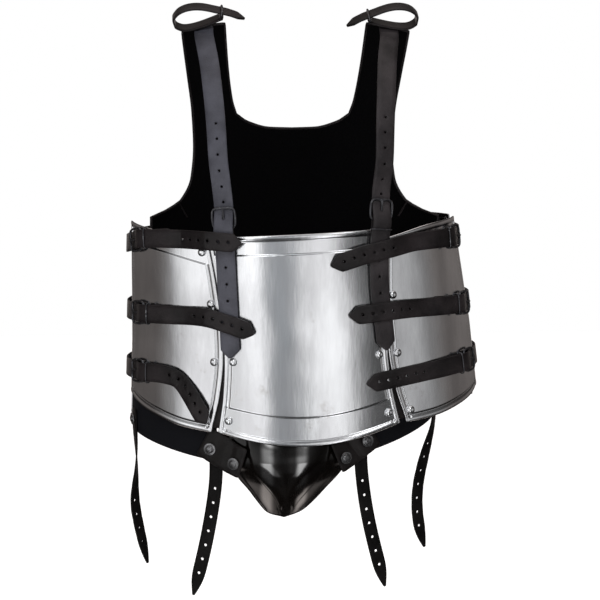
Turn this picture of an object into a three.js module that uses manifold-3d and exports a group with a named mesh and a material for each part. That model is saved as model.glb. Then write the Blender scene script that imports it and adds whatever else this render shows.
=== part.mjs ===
// A steel waist harness: three riveted front plates and a back plate, leather straps with
// buckles, a cloth vest with shoulder pieces, and a groin cup on a hip belt.
// Millimetres, +Z up, front toward -Y. The origin is on the body's axis at the belt's middle.
import * as THREE from 'three';
import { mergeVertices } from 'three/addons/utils/BufferGeometryUtils.js';
import Module from 'manifold-3d';

const wasm = await Module();
wasm.setup();

// Body section: an ellipse that flares downward
const bodyHalfWidth = 190;
const bodyHalfDepth = 121;
const widthFlare = 0.08;
const depthFlare = 0.05;
const topLean = 4;
const beltRollDegrees = 2.5;

// Clearance between pieces that touch
const touchGap = 0.5;

// Steel plates
const plateThickness = 1.5;
const frontPlateTop = 113;
const frontPlateDrop = 115;
const seamTop = 103;
const seamDrop = 98;
const seamReach = 92;
const seamGap = 8;
const sideReach = 222;
const sideRise = 18;
const sideTuck = 30;
const sideLift = 6;
const rimWidth = 4.5;
const pressDepth = 0.9;
const pressWidth = 2.2;
const topBand = 20;
const bottomBand = 30;
const backPlateReach = 273;
const backPlateTop = 112;
const backPlateDrop = 96;

// Rivets
const rivetRadius = 4.5;
const rivetDome = 2.2;
const rivetShank = 1.8;
const rivetFlat = 0.8;
const rivetInset = 9.5;
const rivetPeen = 1.2;
const rearRivetInset = 9;

// Leather
const strapThickness = 2;
const strapSlack = 0.3;
const chapeThickness = 1.6;
const jointStripWidth = 38;
const jointStripEnd = 4;
const waistStrapWidth = 20;
const waistStrapRear = 306;
const pivotReach = 186;
const chapeLength = 42;
const strapTipLength = 9;
const stationNear = 4;
const stationFar = 22;
const stationTurn = 0.17;
const chapeRivetInset = 9;
const chapeStraight = 12;
const shoulderStrapWidth = 21;
const shoulderChapeLength = 104;
const shoulderPivotHeight = 122;
const holeRadius = 1.7;
const holePitch = 11;
const shoulderHolePitch = 17;

// Rows of waist straps
const upperRow = 103;
const middleRow = 25;
const lowerRow = -40;

// Buckles and keepers
const buckleWire = 1.5;
const buckleLength = 22;
const buckleSideGap = 0.8;
const tongueRadius = 1.1;
const tongueGap = 0.4;
const keeperWire = 0.8;
const keeperDistance = 10;

// Sideways place of the hip belt and of the vest with its shoulder pieces
const hipShift = -22.5;
const vestShift = -4;

// Vest
const vestSideRoom = 20;
const vestRearRoom = 9;
const vestTrim = 7;
const vestSectionWidth = bodyHalfWidth - vestSideRoom;
const vestSectionDepth = bodyHalfDepth - vestRearRoom;
const vestHalfWidth = vestSectionWidth - vestTrim;
const shoulderHeight = 334;
const vestDrop = 100;
const vestThickness = 2.5;

// Shoulder loops
const shoulderMiddle = 101.7;
const loopWidth = 20;
const loopReach = 45;
const loopWire = 1.2;
const loopStand = 8;
const loopRaise = { left: -2.1, right: -3.5 };
const loopTilt = 0.35;

// Hip belt, cup and hanging straps
const hipSideTaper = 5;
const hipRearTaper = 7;
const hipHalfWidth = vestSectionWidth - hipSideTaper;
const hipHalfDepth = vestSectionDepth - hipRearTaper;
const hipBeltWidth = 38;
const hipBeltRise = 4;
const hipBeltThickness = 2.5;
const hipSideHeight = -94;
const hipFrontDip = 30;
const hipBeltEnd = 76;
const cupWidthShare = 0.43;
const cupHalfWidth = hipHalfWidth * cupWidthShare;
const cupTop = -100;
const cupHeight = 104;
const cupForward = 14;
const cupDepth = hipHalfDepth + cupForward;
const cupWall = 2.5;
const cupRelief = 2;
const cupSway = 8;
const tabThickness = 2;
const tabWidth = 35;
const tabRise = 4;
const tabSeat = 1.7;
const washerRadius = 6.8;
const hangerWidth = 15;
const hangerLength = 166;
const hangerTop = 11;
const hangerHolePitch = 16;

const rollAngle = THREE.MathUtils.degToRad(beltRollDegrees);
const upAxis = new THREE.Vector3(0, 0, 1);
const depthAxis = new THREE.Vector3(0, 1, 0);

// Materials
function material(color, roughness, metalness) {
  return new THREE.MeshStandardMaterial({ color, roughness, metalness });
}

const polishedSteel = material(0xc9ccd2, 0.25, 1);
const darkSteel = material(0x3a3a40, 0.35, 1);
const brownLeather = material(0x2b2425, 0.6, 0);
const greyLeather = material(0x47464c, 0.6, 0);
const blackCloth = material(0x060405, 0.95, 0);
const blackWebbing = material(0x14151a, 0.85, 0);
const blackGloss = material(0x08080a, 0.12, 0.2);

// Solids: closed meshes, and joins and cuts between them
function closedGeometry(vertices, faces) {
  const geometry = new THREE.BufferGeometry();
  const places = vertices.flatMap((vertex) => vertex.toArray());
  geometry.setAttribute('position', new THREE.Float32BufferAttribute(places, 3));
  const volume = faces.reduce((sum, [a, b, c]) => {
    const cross = new THREE.Vector3().crossVectors(vertices[b], vertices[c]);
    return sum + vertices[a].dot(cross);
  }, 0);
  geometry.setIndex((volume < 0 ? faces.map(([a, b, c]) => [a, c, b]) : faces).flat());
  return geometry;
}

function toSolid(geometry) {
  const bare = geometry.clone();
  bare.deleteAttribute('normal');
  bare.deleteAttribute('uv');
  const merged = mergeVertices(bare, 1e-4);
  return new wasm.Manifold(new wasm.Mesh({
    numProp: 3,
    vertProperties: new Float32Array(merged.attributes.position.array),
    triVerts: new Uint32Array(merged.index.array),
  }));
}

function toGeometry(solid) {
  const mesh = solid.getMesh();
  const geometry = new THREE.BufferGeometry();
  geometry.setAttribute('position', new THREE.BufferAttribute(new Float32Array(mesh.vertProperties), 3));
  geometry.setIndex(new THREE.BufferAttribute(new Uint32Array(mesh.triVerts), 1));
  return geometry;
}

function combine(base, added, cutters = []) {
  let solid = toSolid(base);
  for (const piece of added) solid = solid.add(toSolid(piece));
  for (const cutter of cutters) solid = solid.subtract(toSolid(cutter));
  return toGeometry(solid);
}

// A closed solid through sections that all have the same number of points
function loft(sections, isLoop = false) {
  const sides = sections[0].length;
  const rings = sections.length;
  const faces = [];
  for (let ring = 0; ring < (isLoop ? rings : rings - 1); ring += 1) {
    const next = (ring + 1) % rings;
    for (let side = 0; side < sides; side += 1) {
      const beside = (side + 1) % sides;
      const corner = ring * sides + side;
      const opposite = next * sides + beside;
      faces.push([corner, ring * sides + beside, opposite], [corner, opposite, next * sides + side]);
    }
  }
  const top = (rings - 1) * sides;
  for (let side = 1; !isLoop && side < sides - 1; side += 1) {
    faces.push([0, side + 1, side], [top, top + side, top + side + 1]);
  }
  return closedGeometry(sections.flat(), faces);
}

// A sheet on a grid: pointAt(column, row, face) gives the inner (0) and outer (1) faces
function slab(columns, rows, pointAt) {
  const vertices = [];
  for (const face of [0, 1]) {
    for (let row = 0; row < rows; row += 1) {
      for (let column = 0; column < columns; column += 1) vertices.push(pointAt(column, row, face));
    }
  }
  const id = (column, row, face) => (face * rows + row) * columns + column;
  const faces = [];
  const quad = (a, b, c, d) => faces.push([a, b, c], [a, c, d]);
  for (let row = 0; row < rows - 1; row += 1) {
    for (let column = 0; column < columns - 1; column += 1) {
      quad(id(column, row, 1), id(column + 1, row, 1), id(column + 1, row + 1, 1), id(column, row + 1, 1));
      quad(id(column, row, 0), id(column, row + 1, 0), id(column + 1, row + 1, 0), id(column + 1, row, 0));
    }
    quad(id(0, row, 0), id(0, row, 1), id(0, row + 1, 1), id(0, row + 1, 0));
    const last = columns - 1;
    quad(id(last, row, 1), id(last, row, 0), id(last, row + 1, 0), id(last, row + 1, 1));
  }
  for (let column = 0; column < columns - 1; column += 1) {
    quad(id(column, 0, 0), id(column + 1, 0, 0), id(column + 1, 0, 1), id(column, 0, 1));
    const last = rows - 1;
    quad(id(column, last, 1), id(column + 1, last, 1), id(column + 1, last, 0), id(column, last, 0));
  }
  return closedGeometry(vertices, faces);
}

// Straight-line reading of a table of [key, value] rows
function readTable(rows, key) {
  const next = rows.findIndex(([rowKey]) => rowKey >= key);
  if (next === -1) return rows[rows.length - 1][1];
  if (next === 0) return rows[0][1];
  const [lowKey, lowValue] = rows[next - 1];
  const [highKey, highValue] = rows[next];
  return lowValue + ((key - lowKey) / (highKey - lowKey)) * (highValue - lowValue);
}

// Places on the body: arc is the distance round the belt from the front middle
const arcTable = [[0, 0]];
for (let degree = 1; degree <= 180; degree += 1) {
  const middle = THREE.MathUtils.degToRad(degree - 0.5);
  const step = Math.hypot(bodyHalfWidth * Math.cos(middle), bodyHalfDepth * Math.sin(middle));
  arcTable.push([arcTable[degree - 1][0] + THREE.MathUtils.degToRad(step), THREE.MathUtils.degToRad(degree)]);
}

function bodyAngle(arc) {
  return Math.sign(arc) * readTable(arcTable, Math.abs(arc));
}

function bodyPoint(arc, height, lift) {
  const angle = bodyAngle(arc);
  const halfWidth = bodyHalfWidth - widthFlare * height + lift;
  const halfDepth = bodyHalfDepth - depthFlare * height + lift;
  const lean = (topLean * Math.max(0, height)) / frontPlateTop;
  return new THREE.Vector3(halfWidth * Math.sin(angle) - lean, -halfDepth * Math.cos(angle), height);
}

function bodyOut(arc) {
  const angle = bodyAngle(arc);
  const width = Math.sin(angle) / bodyHalfWidth;
  const depth = Math.cos(angle) / bodyHalfDepth;
  const slope = Math.sin(angle) * width * widthFlare + Math.cos(angle) * depth * depthFlare;
  return new THREE.Vector3(width, -depth, slope).normalize();
}

function rolled(vector) {
  return vector.clone().applyAxisAngle(depthAxis, -rollAngle);
}

function unrolled(vector) {
  return vector.clone().applyAxisAngle(depthAxis, rollAngle);
}

// A route through points with an outward direction at each, read by distance
class Route {
  constructor(points, outs) {
    this.points = points;
    this.outs = outs;
    this.marks = [0];
    for (let i = 1; i < points.length; i += 1) {
      this.marks.push(this.marks[i - 1] + points[i].distanceTo(points[i - 1]));
    }
    this.length = this.marks[this.marks.length - 1];
  }

  at(distance, lift = 0, shift = 0) {
    const next = this.marks.findIndex((mark, i) => i > 0 && mark >= distance);
    const high = next === -1 ? this.points.length - 1 : next;
    const share = (distance - this.marks[high - 1]) / (this.marks[high] - this.marks[high - 1]);
    const before = this.points[Math.max(0, high - 2)];
    const after = this.points[Math.min(this.points.length - 1, high + 1)];
    const along = after.clone().sub(before).normalize();
    const out = this.outs[high - 1].clone().lerp(this.outs[high], share).normalize();
    const across = new THREE.Vector3().crossVectors(out, along).normalize();
    out.crossVectors(along, across);
    const point = this.points[high - 1].clone().lerp(this.points[high], share);
    point.addScaledVector(out, lift).addScaledVector(across, shift);
    return { point, along, across, out };
  }
}

// A smooth route on the plates' outer face through rows of arc and height
function bodyRoute(rows) {
  const flat = new THREE.CatmullRomCurve3(rows.map(({ arc, height }) => new THREE.Vector3(arc, height, 0)));
  const steps = Math.ceil(flat.getLength() / 6);
  const places = flat.getSpacedPoints(steps);
  return new Route(
    places.map(({ x, y }) => bodyPoint(x, y, plateThickness)),
    places.map(({ x }) => bodyOut(x)),
  );
}

// A flat strip through stations of point, across and half width
function ribbon(stations, thickness) {
  const sections = stations.map(({ point, across, half }, i) => {
    const before = stations[Math.max(0, i - 1)].point;
    const after = stations[Math.min(stations.length - 1, i + 1)].point;
    const along = after.clone().sub(before).normalize();
    const side = across.clone().addScaledVector(along, -across.dot(along)).normalize();
    const out = new THREE.Vector3().crossVectors(along, side);
    const corner = (sideShare, outShare) => point.clone()
      .addScaledVector(side, sideShare * half)
      .addScaledVector(out, outShare * thickness * 0.5);
    return [corner(-1, -1), corner(1, -1), corner(1, 1), corner(-1, 1)];
  });
  return loft(sections);
}

// A round rod through points, with a radius at each
function rod(points, radii, sides = 6, isLoop = false) {
  const reference = points[1].clone().sub(points[0]).normalize();
  const helper = Math.abs(reference.z) < 0.9 ? upAxis : depthAxis;
  let side = new THREE.Vector3().crossVectors(reference, helper).normalize();
  const sections = points.map((point, i) => {
    const count = points.length;
    const before = isLoop ? points[(i + count - 1) % count] : points[Math.max(0, i - 1)];
    const after = isLoop ? points[(i + 1) % count] : points[Math.min(count - 1, i + 1)];
    const along = after.clone().sub(before).normalize();
    side = side.clone().addScaledVector(along, -side.dot(along)).normalize();
    const up = new THREE.Vector3().crossVectors(along, side);
    return Array.from({ length: sides }, (_, k) => {
      const angle = (2 * Math.PI * k) / sides;
      return point.clone()
        .addScaledVector(side, radii[i] * Math.cos(angle))
        .addScaledVector(up, radii[i] * Math.sin(angle));
    });
  });
  return loft(sections, isLoop);
}

function ringRod(points, radius, sides) {
  return rod(points, points.map(() => radius), sides, true);
}

function pin(frame, radius, from, to, sides = 5) {
  const ends = [from, to].map((reach) => frame.point.clone().addScaledVector(frame.out, reach));
  return rod(ends, [radius, radius], sides);
}

// A rectangle with cut corners, round which a wire is bent
function wirePath(frame, minAlong, maxAlong, halfAcross, corner) {
  const shares = [
    [minAlong + corner, -halfAcross], [maxAlong - corner, -halfAcross],
    [maxAlong, -halfAcross + corner], [maxAlong, halfAcross - corner],
    [maxAlong - corner, halfAcross], [minAlong + corner, halfAcross],
    [minAlong, halfAcross - corner], [minAlong, -halfAcross + corner],
  ];
  return shares.map(([along, across]) => frame.point.clone()
    .addScaledVector(frame.along, along)
    .addScaledVector(frame.across, across));
}

// A domed rivet: inner head, shank through the plate, and a dome or a flat head outside.
// Reaches are measured outward from the plate's outer face.
function rivet(arc, height, innerReach, outerReach, headRadius, headHeight) {
  const profile = [
    [0, innerReach - rivetFlat], [rivetRadius * 0.8, innerReach], [rivetShank, innerReach],
    [rivetShank, outerReach], [headRadius, outerReach],
    [headRadius * 0.72, outerReach + headHeight * 0.7], [0, outerReach + headHeight],
  ];
  const geometry = new THREE.LatheGeometry(profile.map(([x, y]) => new THREE.Vector2(x, y)), 6);
  const turn = new THREE.Quaternion().setFromUnitVectors(depthAxis, bodyOut(arc));
  geometry.applyQuaternion(turn);
  const base = bodyPoint(arc, height, plateThickness);
  geometry.translate(base.x, base.y, base.z);
  return geometry;
}

// Seam between the middle plate and a side plate: reach as a share of seamReach and gap as a
// share of seamGap, against height as a share of the plates' rise or drop
const seamRows = [
  { up: -1.2, reach: 1.1, gap: 1 },
  { up: -1, reach: 1.08, gap: 0.95 },
  { up: -0.6, reach: 1.0, gap: 0.5 },
  { up: -0.2, reach: 0.965, gap: 0.2 },
  { up: 0.2, reach: 0.975, gap: 0.12 },
  { up: 0.6, reach: 1.02, gap: 0.12 },
  { up: 1, reach: 1.09, gap: 0.12 },
  { up: 1.2, reach: 1.12, gap: 0.12 },
];

function seamAt(height) {
  const up = height > 0 ? height / seamTop : height / seamDrop;
  const reach = readTable(seamRows.map((row) => [row.up, row.reach]), up) * seamReach;
  const gap = readTable(seamRows.map((row) => [row.up, row.gap]), up) * seamGap;
  return { inner: reach - gap / 2, outer: reach + gap / 2 };
}

// Pressed lines: how far the sheet is sunk at a distance from an edge, with the border band
// between the rim and a pressed line lying lower than the field
function pressed(distance, band) {
  const inner = band > 0 ? band : rimWidth + pressWidth;
  const rows = [[0, 0], [rimWidth, 0], [rimWidth + pressWidth, -1], [inner, -1], [inner + pressWidth, 0]];
  return pressDepth * readTable(rows, distance);
}

// Grid lines at the rims and pressed lines of both edges, and even steps between
function plateLines(length, lowBand, highBand, middleSteps) {
  const edge = (band) => (band > 0
    ? [0, rimWidth, rimWidth + pressWidth, band, band + pressWidth]
    : [0, rimWidth, rimWidth + pressWidth, rimWidth + 2 * pressWidth]);
  const low = edge(lowBand);
  const high = edge(highBand).map((line) => length - line).reverse();
  const from = low[low.length - 1];
  const span = high[0] - from;
  const middle = Array.from({ length: middleSteps - 1 }, (_, i) => from + ((i + 1) * span) / middleSteps);
  return [...low, ...middle, ...high];
}

function frontPlateGeometry() {
  const bottomAt = (share) => -seamDrop - (frontPlateDrop - seamDrop) * Math.cos((share * Math.PI) / 2);
  const height = frontPlateTop + frontPlateDrop;
  const rows = plateLines(height, bottomBand, topBand, 2);
  const columns = plateLines(2 * seamReach, 0, 0, 6);
  const sheet = slab(columns.length, rows.length, (column, row, face) => {
    const share = columns[column] / seamReach - 1;
    const bottom = bottomAt(share);
    const z = bottom + (rows[row] / height) * (frontPlateTop - bottom);
    const sunk = Math.min(
      pressed(rows[row], bottomBand),
      pressed(height - rows[row], topBand),
      pressed(columns[column], 0),
      pressed(2 * seamReach - columns[column], 0),
    );
    return bodyPoint(share * seamAt(z).inner, z, sunk + face * plateThickness);
  });
  return sheet;
}

function sidePlateGeometry(side) {
  const lift = side < 0 ? sideLift : -sideLift;
  const width = sideReach - seamReach;
  const height = seamTop + seamDrop;
  const rows = plateLines(height, 0, topBand, 2);
  const columns = plateLines(width, 0, 0, 6);
  const topRows = [[0, 0], [0.5, 0.7], [1, 1]];
  const bottomRows = [[0, 0], [0.3, 0.14], [0.6, 0.42], [0.85, 0.72], [1, 1]];
  return slab(columns.length, rows.length, (column, row, face) => {
    const share = columns[column] / width;
    const top = seamTop + sideRise * readTable(topRows, share) + lift * share;
    const bottom = -seamDrop + sideTuck * readTable(bottomRows, share) + lift * share;
    const z = bottom + (rows[row] / height) * (top - bottom);
    const front = seamAt(z).outer;
    const sunk = Math.min(
      pressed(rows[row], 0),
      pressed(height - rows[row], topBand),
      pressed(columns[column], 0),
      pressed(width - columns[column], 0),
    );
    const arc = side * (front + share * (sideReach - front));
    return bodyPoint(arc, z, sunk + face * plateThickness);
  });
}

function backPlateGeometry() {
  const girth = 2 * arcTable[180][0];
  const reach = girth - 2 * backPlateReach;
  const columns = 15;
  return slab(columns, 3, (column, row, face) => {
    const share = (2 * column) / (columns - 1) - 1;
    const arc = girth / 2 + (share * reach) / 2;
    const z = -backPlateDrop + (row / 2) * (backPlateTop + backPlateDrop);
    const wrapped = arc > girth / 2 ? arc - girth : arc;
    return bodyPoint(wrapped, z, face * plateThickness);
  });
}

// Seam rivets: insets from the side plate's and middle plate's edges as shares of rivetInset,
// and heights as shares of seamTop or seamDrop
const seamRivetRows = [
  { up: 0.94, sideInset: 1, middleInset: 0 },
  { up: 0.4, sideInset: 1, middleInset: 0 },
  { up: -0.22, sideInset: 1.05, middleInset: 1 },
  { up: -0.87, sideInset: 0.95, middleInset: 1 },
];

const stripTop = plateThickness + pressDepth + touchGap;
const innerHead = -(stripTop + strapThickness + touchGap);

function seamRivets(side) {
  return seamRivetRows.map(({ up, sideInset, middleInset }) => {
    const height = up > 0 ? up * seamTop : up * seamDrop;
    const seam = seamAt(height);
    return {
      height,
      outer: side * (seam.outer + sideInset * rivetInset),
      inner: middleInset > 0 ? side * (seam.inner - middleInset * rivetInset) : null,
    };
  });
}

function seamRivetGeometry(arc, height) {
  const seat = pressDepth + plateThickness * 0.4;
  return rivet(arc, height, innerHead, -seat, rivetRadius, rivetDome + seat);
}

function jointStripGeometry(side) {
  const rows = 9;
  const strip = slab(3, rows, (column, row, face) => {
    const z = jointStripEnd - seamDrop + (row / (rows - 1)) * (seamTop + seamDrop - 2 * jointStripEnd);
    const seam = seamAt(z);
    const middle = (seam.inner + seam.outer) / 2;
    const arc = side * (middle + (column - 1) * 0.5 * jointStripWidth);
    return bodyPoint(arc, z, plateThickness - stripTop - strapThickness * (1 - face));
  });
  const holes = seamRivets(side).flatMap(({ outer, inner, height }) => [outer, inner]
    .filter((arc) => arc !== null)
    .map((arc) => pin(
      { point: bodyPoint(arc, height, plateThickness), out: bodyOut(arc) },
      rivetShank + touchGap,
      innerHead - 2,
      0,
    )));
  return combine(strip, [], holes);
}

// Heights of the layers over the plates at a buckle, measured to each piece's middle
const chapeLow = touchGap + chapeThickness / 2;
const pivotLift = touchGap + chapeThickness + touchGap + buckleWire;
const wrapRadius = pivotLift - chapeLow;
const strapLow = touchGap + strapThickness / 2;
const strapHigh = pivotLift + wrapRadius + chapeThickness / 2 + strapLow;
const farLift = strapLow + strapThickness / 2 + touchGap + buckleWire;
const keeperLow = chapeLow + chapeThickness / 2 + touchGap + keeperWire;
const layerOnKeeper = keeperLow + keeperWire + touchGap + chapeThickness / 2;
const strapOnKeeper = layerOnKeeper + chapeThickness / 2 + strapLow;
const layerEnd = chapeLow + chapeThickness + touchGap;
const overRivet = chapeLow + chapeThickness / 2 + rivetFlat + strapLow;
const wrapReach = 24;

// The strap's height past a buckle, by distance from the pivot: tail side below zero
function buckleLifts(length) {
  return [
    [-length - chapeStraight, strapLow],
    [-length - 1, overRivet],
    [-wrapReach - 2, Math.max(overRivet, layerEnd + chapeThickness / 2 + strapLow)],
    [-keeperDistance - 6, strapOnKeeper - 1.2],
    [-keeperDistance, strapOnKeeper],
    [-4, strapHigh],
    [2, strapHigh],
    [buckleLength - 3.5, strapLow + 0.1],
    [buckleLength + 4, strapLow + strapSlack],
  ];
}

// One buckle assembly on a route, with the pivot at a distance from the tail's tip
class BuckleSet {
  constructor(route, pivot, width, length, drop = 0) {
    this.route = route;
    this.pivot = pivot;
    this.width = width;
    this.length = length;
    this.drop = drop;
    const heel = route.at(pivot, pivotLift);
    const far = route.at(pivot + buckleLength, farLift);
    const along = far.point.clone().sub(heel.point).normalize();
    const across = heel.across.clone().add(far.across);
    across.addScaledVector(along, -across.dot(along)).normalize();
    const out = new THREE.Vector3().crossVectors(along, across);
    this.frame = { point: heel.point, along, across, out };
    this.reach = far.point.distanceTo(heel.point);
  }

  get tongueEnds() {
    const { point, along, out } = this.frame;
    const tip = point.clone().addScaledVector(along, this.reach + buckleWire * 0.6)
      .addScaledVector(out, buckleWire + tongueRadius * 0.5);
    return [point, tip];
  }

  buckle() {
    const half = this.width / 2 + buckleSideGap + buckleWire;
    const ring = ringRod(wirePath(this.frame, 0, this.reach, half, 3), buckleWire, 5);
    const tongue = rod(this.tongueEnds, [tongueRadius, tongueRadius * 0.8], 5);
    return combine(ring, [tongue]);
  }

  tonguePassage() {
    const radius = tongueRadius + tongueGap;
    return rod(this.tongueEnds, [radius, radius], 6);
  }

  chape() {
    const station = (distance, lift, half) => {
      const sag = (-distance - chapeStraight) / (this.length - chapeStraight);
      const fall = this.drop * Math.min(1, Math.max(0, sag));
      const place = this.route.at(this.pivot + distance, lift, -fall);
      return { point: place.point, across: place.across, half };
    };
    const half = this.width / 2 - 1;
    const steps = Math.round(this.length / 14);
    const low = Array.from({ length: steps }, (_, i) => {
      const distance = -this.length + 5 + ((this.length - 5) * i) / steps;
      return station(distance, chapeLow, half);
    });
    const wrap = Array.from({ length: 5 }, (_, i) => {
      const angle = (Math.PI * i) / 4;
      return station(wrapRadius * Math.sin(angle), pivotLift - wrapRadius * Math.cos(angle), half);
    });
    const high = [
      station(-keeperDistance, layerOnKeeper, half),
      station(-wrapReach + 6, layerEnd, half),
      station(-wrapReach, layerEnd, half),
    ];
    const tip = [
      station(-this.length, chapeLow, half * 0.35),
      station(-this.length + 2, chapeLow, half * 0.8),
    ];
    const body = ribbon([...tip, ...low, ...wrap, ...high], chapeThickness);
    const hole = pin(this.rivetPlace, rivetShank + touchGap, -1, 4);
    return combine(body, [], [hole, this.tonguePassage()]);
  }

  get rivetPlace() {
    return this.route.at(this.pivot - this.length + chapeRivetInset, 0, -this.drop);
  }

  rivet() {
    const place = this.rivetPlace;
    const base = chapeThickness + 2 * touchGap;
    const shank = pin(place, rivetShank, -plateThickness - pressDepth * 0.8, base + 0.1);
    const head = pin(place, rivetShank * 2, base, base + rivetFlat - touchGap, 6);
    return [shank, head];
  }

  keeper() {
    const place = this.route.at(this.pivot - keeperDistance, keeperLow);
    const half = this.width / 2 + 0.6 + keeperWire;
    const top = strapOnKeeper + strapThickness / 2 + touchGap + keeperWire - keeperLow;
    const frame = { point: place.point, along: place.out, across: place.across };
    return ringRod(wirePath(frame, 0, top, half, 1.5), keeperWire, 4);
  }
}

// A strap that runs from its pointed tip through a buckle to its rear end
function strapGeometry(route, width, lifts, set, holeDistances, end) {
  const isWithin = (distance) => distance > strapTipLength + 3 && distance < end - 3;
  const keys = lifts.map(([distance]) => distance).filter(isWithin);
  const distances = [strapTipLength];
  for (const goal of [...keys, end]) {
    let from = distances[distances.length - 1];
    while (goal - from > stationNear + 3) {
      let to = from + stationNear;
      const isStraight = () => route.at(to).out.angleTo(route.at(from).out) < stationTurn;
      while (to < goal && to - from < stationFar && isStraight()) to += 1;
      if (to > goal - 3) break;
      distances.push(to);
      from = to;
    }
    distances.push(goal);
  }
  const station = (distance, half) => {
    const place = route.at(distance, readTable(lifts, distance));
    return { point: place.point, across: place.across, half };
  };
  const stations = [
    station(0, width * 0.07),
    ...distances.map((distance) => station(distance, width / 2)),
  ];
  const holes = holeDistances.map((distance) => pin(
    route.at(distance, readTable(lifts, distance)),
    holeRadius,
    -3,
    3,
  ));
  const body = ribbon(stations, strapThickness);
  return combine(body, [], set ? [...holes, set.tonguePassage()] : holes);
}

// Waist straps, three a side. Each route row: reach as a share of pivotReach, rise as a share of
// the strap's width above its row, and how many leather layers lie under the strap there.
const waistStraps = [
  { name: 'upper_left', side: -1, row: upperRow, drop: 3, route: [
    { reach: 0.322, rise: 0.17, layers: 3.9 }, { reach: 0.54, rise: 0.36, layers: 3.9 },
    { reach: 0.62, rise: 0.38, layers: 1.6 }, { reach: 0.72, rise: 0.4, layers: 0 },
    { reach: 1, rise: 0.36, layers: 0 }, { reach: 1.3, rise: -0.15, layers: 0 },
  ] },
  { name: 'middle_left', side: -1, row: middleRow, drop: 3, route: [
    { reach: 0.288, rise: -0.8, layers: 1.6 }, { reach: 0.4, rise: -0.35, layers: 2.1 },
    { reach: 0.53, rise: 0.05, layers: 2.1 }, { reach: 0.6, rise: 0.15, layers: 1.1 },
    { reach: 0.7, rise: 0.17, layers: 0 }, { reach: 1, rise: 0.17, layers: 0 },
    { reach: 1.3, rise: 0.1, layers: 0 },
  ] },
  { name: 'lower_left', side: -1, row: lowerRow, drop: 0, route: [
    { reach: 0.575, rise: -2.4, layers: 1.1 }, { reach: 0.65, rise: -1.2, layers: 1.1 },
    { reach: 0.72, rise: -0.3, layers: 0 }, { reach: 0.79, rise: 0.12, layers: 0 },
    { reach: 1, rise: 0.2, layers: 0 }, { reach: 1.3, rise: 0.15, layers: 0 },
  ] },
  { name: 'upper_right', side: 1, row: upperRow, drop: 3, route: [
    { reach: 0.183, rise: -1.27, layers: 0.8 }, { reach: 0.31, rise: -0.93, layers: 2.5 },
    { reach: 0.38, rise: -0.78, layers: 2.6 }, { reach: 0.54, rise: -0.56, layers: 2.6 },
    { reach: 0.72, rise: -0.38, layers: 0 }, { reach: 1, rise: -0.42, layers: 0 },
    { reach: 1.3, rise: -0.5, layers: 0 },
  ] },
  { name: 'middle_right', side: 1, row: middleRow, drop: 3, route: [
    { reach: 0.26, rise: -0.1, layers: 0.9 }, { reach: 0.37, rise: -0.06, layers: 2 },
    { reach: 0.53, rise: 0, layers: 2 }, { reach: 0.6, rise: 0, layers: 1.1 },
    { reach: 0.72, rise: -0.06, layers: 0 }, { reach: 1, rise: -0.2, layers: 0 },
    { reach: 1.3, rise: -0.3, layers: 0 },
  ] },
  { name: 'lower_right', side: 1, row: lowerRow, drop: 2, route: [
    { reach: 0.333, rise: -0.6, layers: 0 }, { reach: 0.63, rise: -0.35, layers: 0 },
    { reach: 1, rise: -0.15, layers: 0 }, { reach: 1.3, rise: -0.1, layers: 0 },
  ] },
];

const layerRise = strapThickness + touchGap + 0.5;

function arcDistance(route, reach, side) {
  const target = bodyPoint(side * reach, 0, 0);
  const wanted = Math.atan2(target.x * side, -target.y);
  const index = route.points.findIndex(({ x, y }) => Math.atan2(x * side, -y) >= wanted);
  return route.marks[index];
}

function waistSet(row) {
  const places = row.route.map(({ reach, rise }) => ({
    arc: row.side * reach * pivotReach,
    height: row.row + rise * waistStrapWidth,
  }));
  places.push({ arc: row.side * waistStrapRear, height: places[places.length - 1].height });
  const route = bodyRoute(places);
  const pivot = arcDistance(route, pivotReach, row.side);
  const set = new BuckleSet(route, pivot, waistStrapWidth, chapeLength, row.drop * -row.side);
  const tailRows = row.route.filter(({ reach }) => reach < 1).map(({ reach, layers }) => [
    reach === row.route[0].reach ? 0 : arcDistance(route, reach * pivotReach, row.side),
    strapLow + layers * layerRise,
  ]);
  const near = buckleLifts(chapeLength).map(([distance, lift]) => [pivot + distance, lift]);
  const tail = tailRows.filter(([distance]) => distance < near[0][0] - 4);
  const lifts = [...tail, ...near, [route.length, strapLow + strapSlack]];
  return { route, pivot, set, lifts };
}

// Meshes and groups
const harness = new THREE.Group();
const belt = new THREE.Group();
belt.rotation.y = -rollAngle;
harness.add(belt);

function addPiece(group, name, geometry, pieceMaterial) {
  const mesh = new THREE.Mesh(geometry, pieceMaterial);
  mesh.name = name;
  group.add(mesh);
  return mesh;
}

const sides = [{ word: 'left', sign: -1 }, { word: 'right', sign: 1 }];

// Vest: a curved sheet cut to its outline. Rows give the section at a height: up as a share of
// shoulderHeight above the origin or of vestDrop below it, width and depth as shares, and shift
// as a share of the way from vestShift to hipShift
const vestRows = [
  { up: -1, width: 0.959, depth: 0.927, shift: 0.8 },
  { up: -0.6, width: 0.962, depth: 0.937, shift: 0.7 },
  { up: 0, width: 1, depth: 1, shift: 0 },
  { up: 0.35, width: 1, depth: 1, shift: 0 },
  { up: 0.5, width: 1, depth: 0.98, shift: 0 },
  { up: 0.62, width: 1, depth: 0.9, shift: 0 },
  { up: 0.72, width: 1, depth: 0.76, shift: 0 },
  { up: 0.82, width: 1, depth: 0.56, shift: 0 },
  { up: 0.91, width: 1, depth: 0.34, shift: 0 },
  { up: 1.03, width: 1, depth: 0.06, shift: 0 },
];

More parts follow.
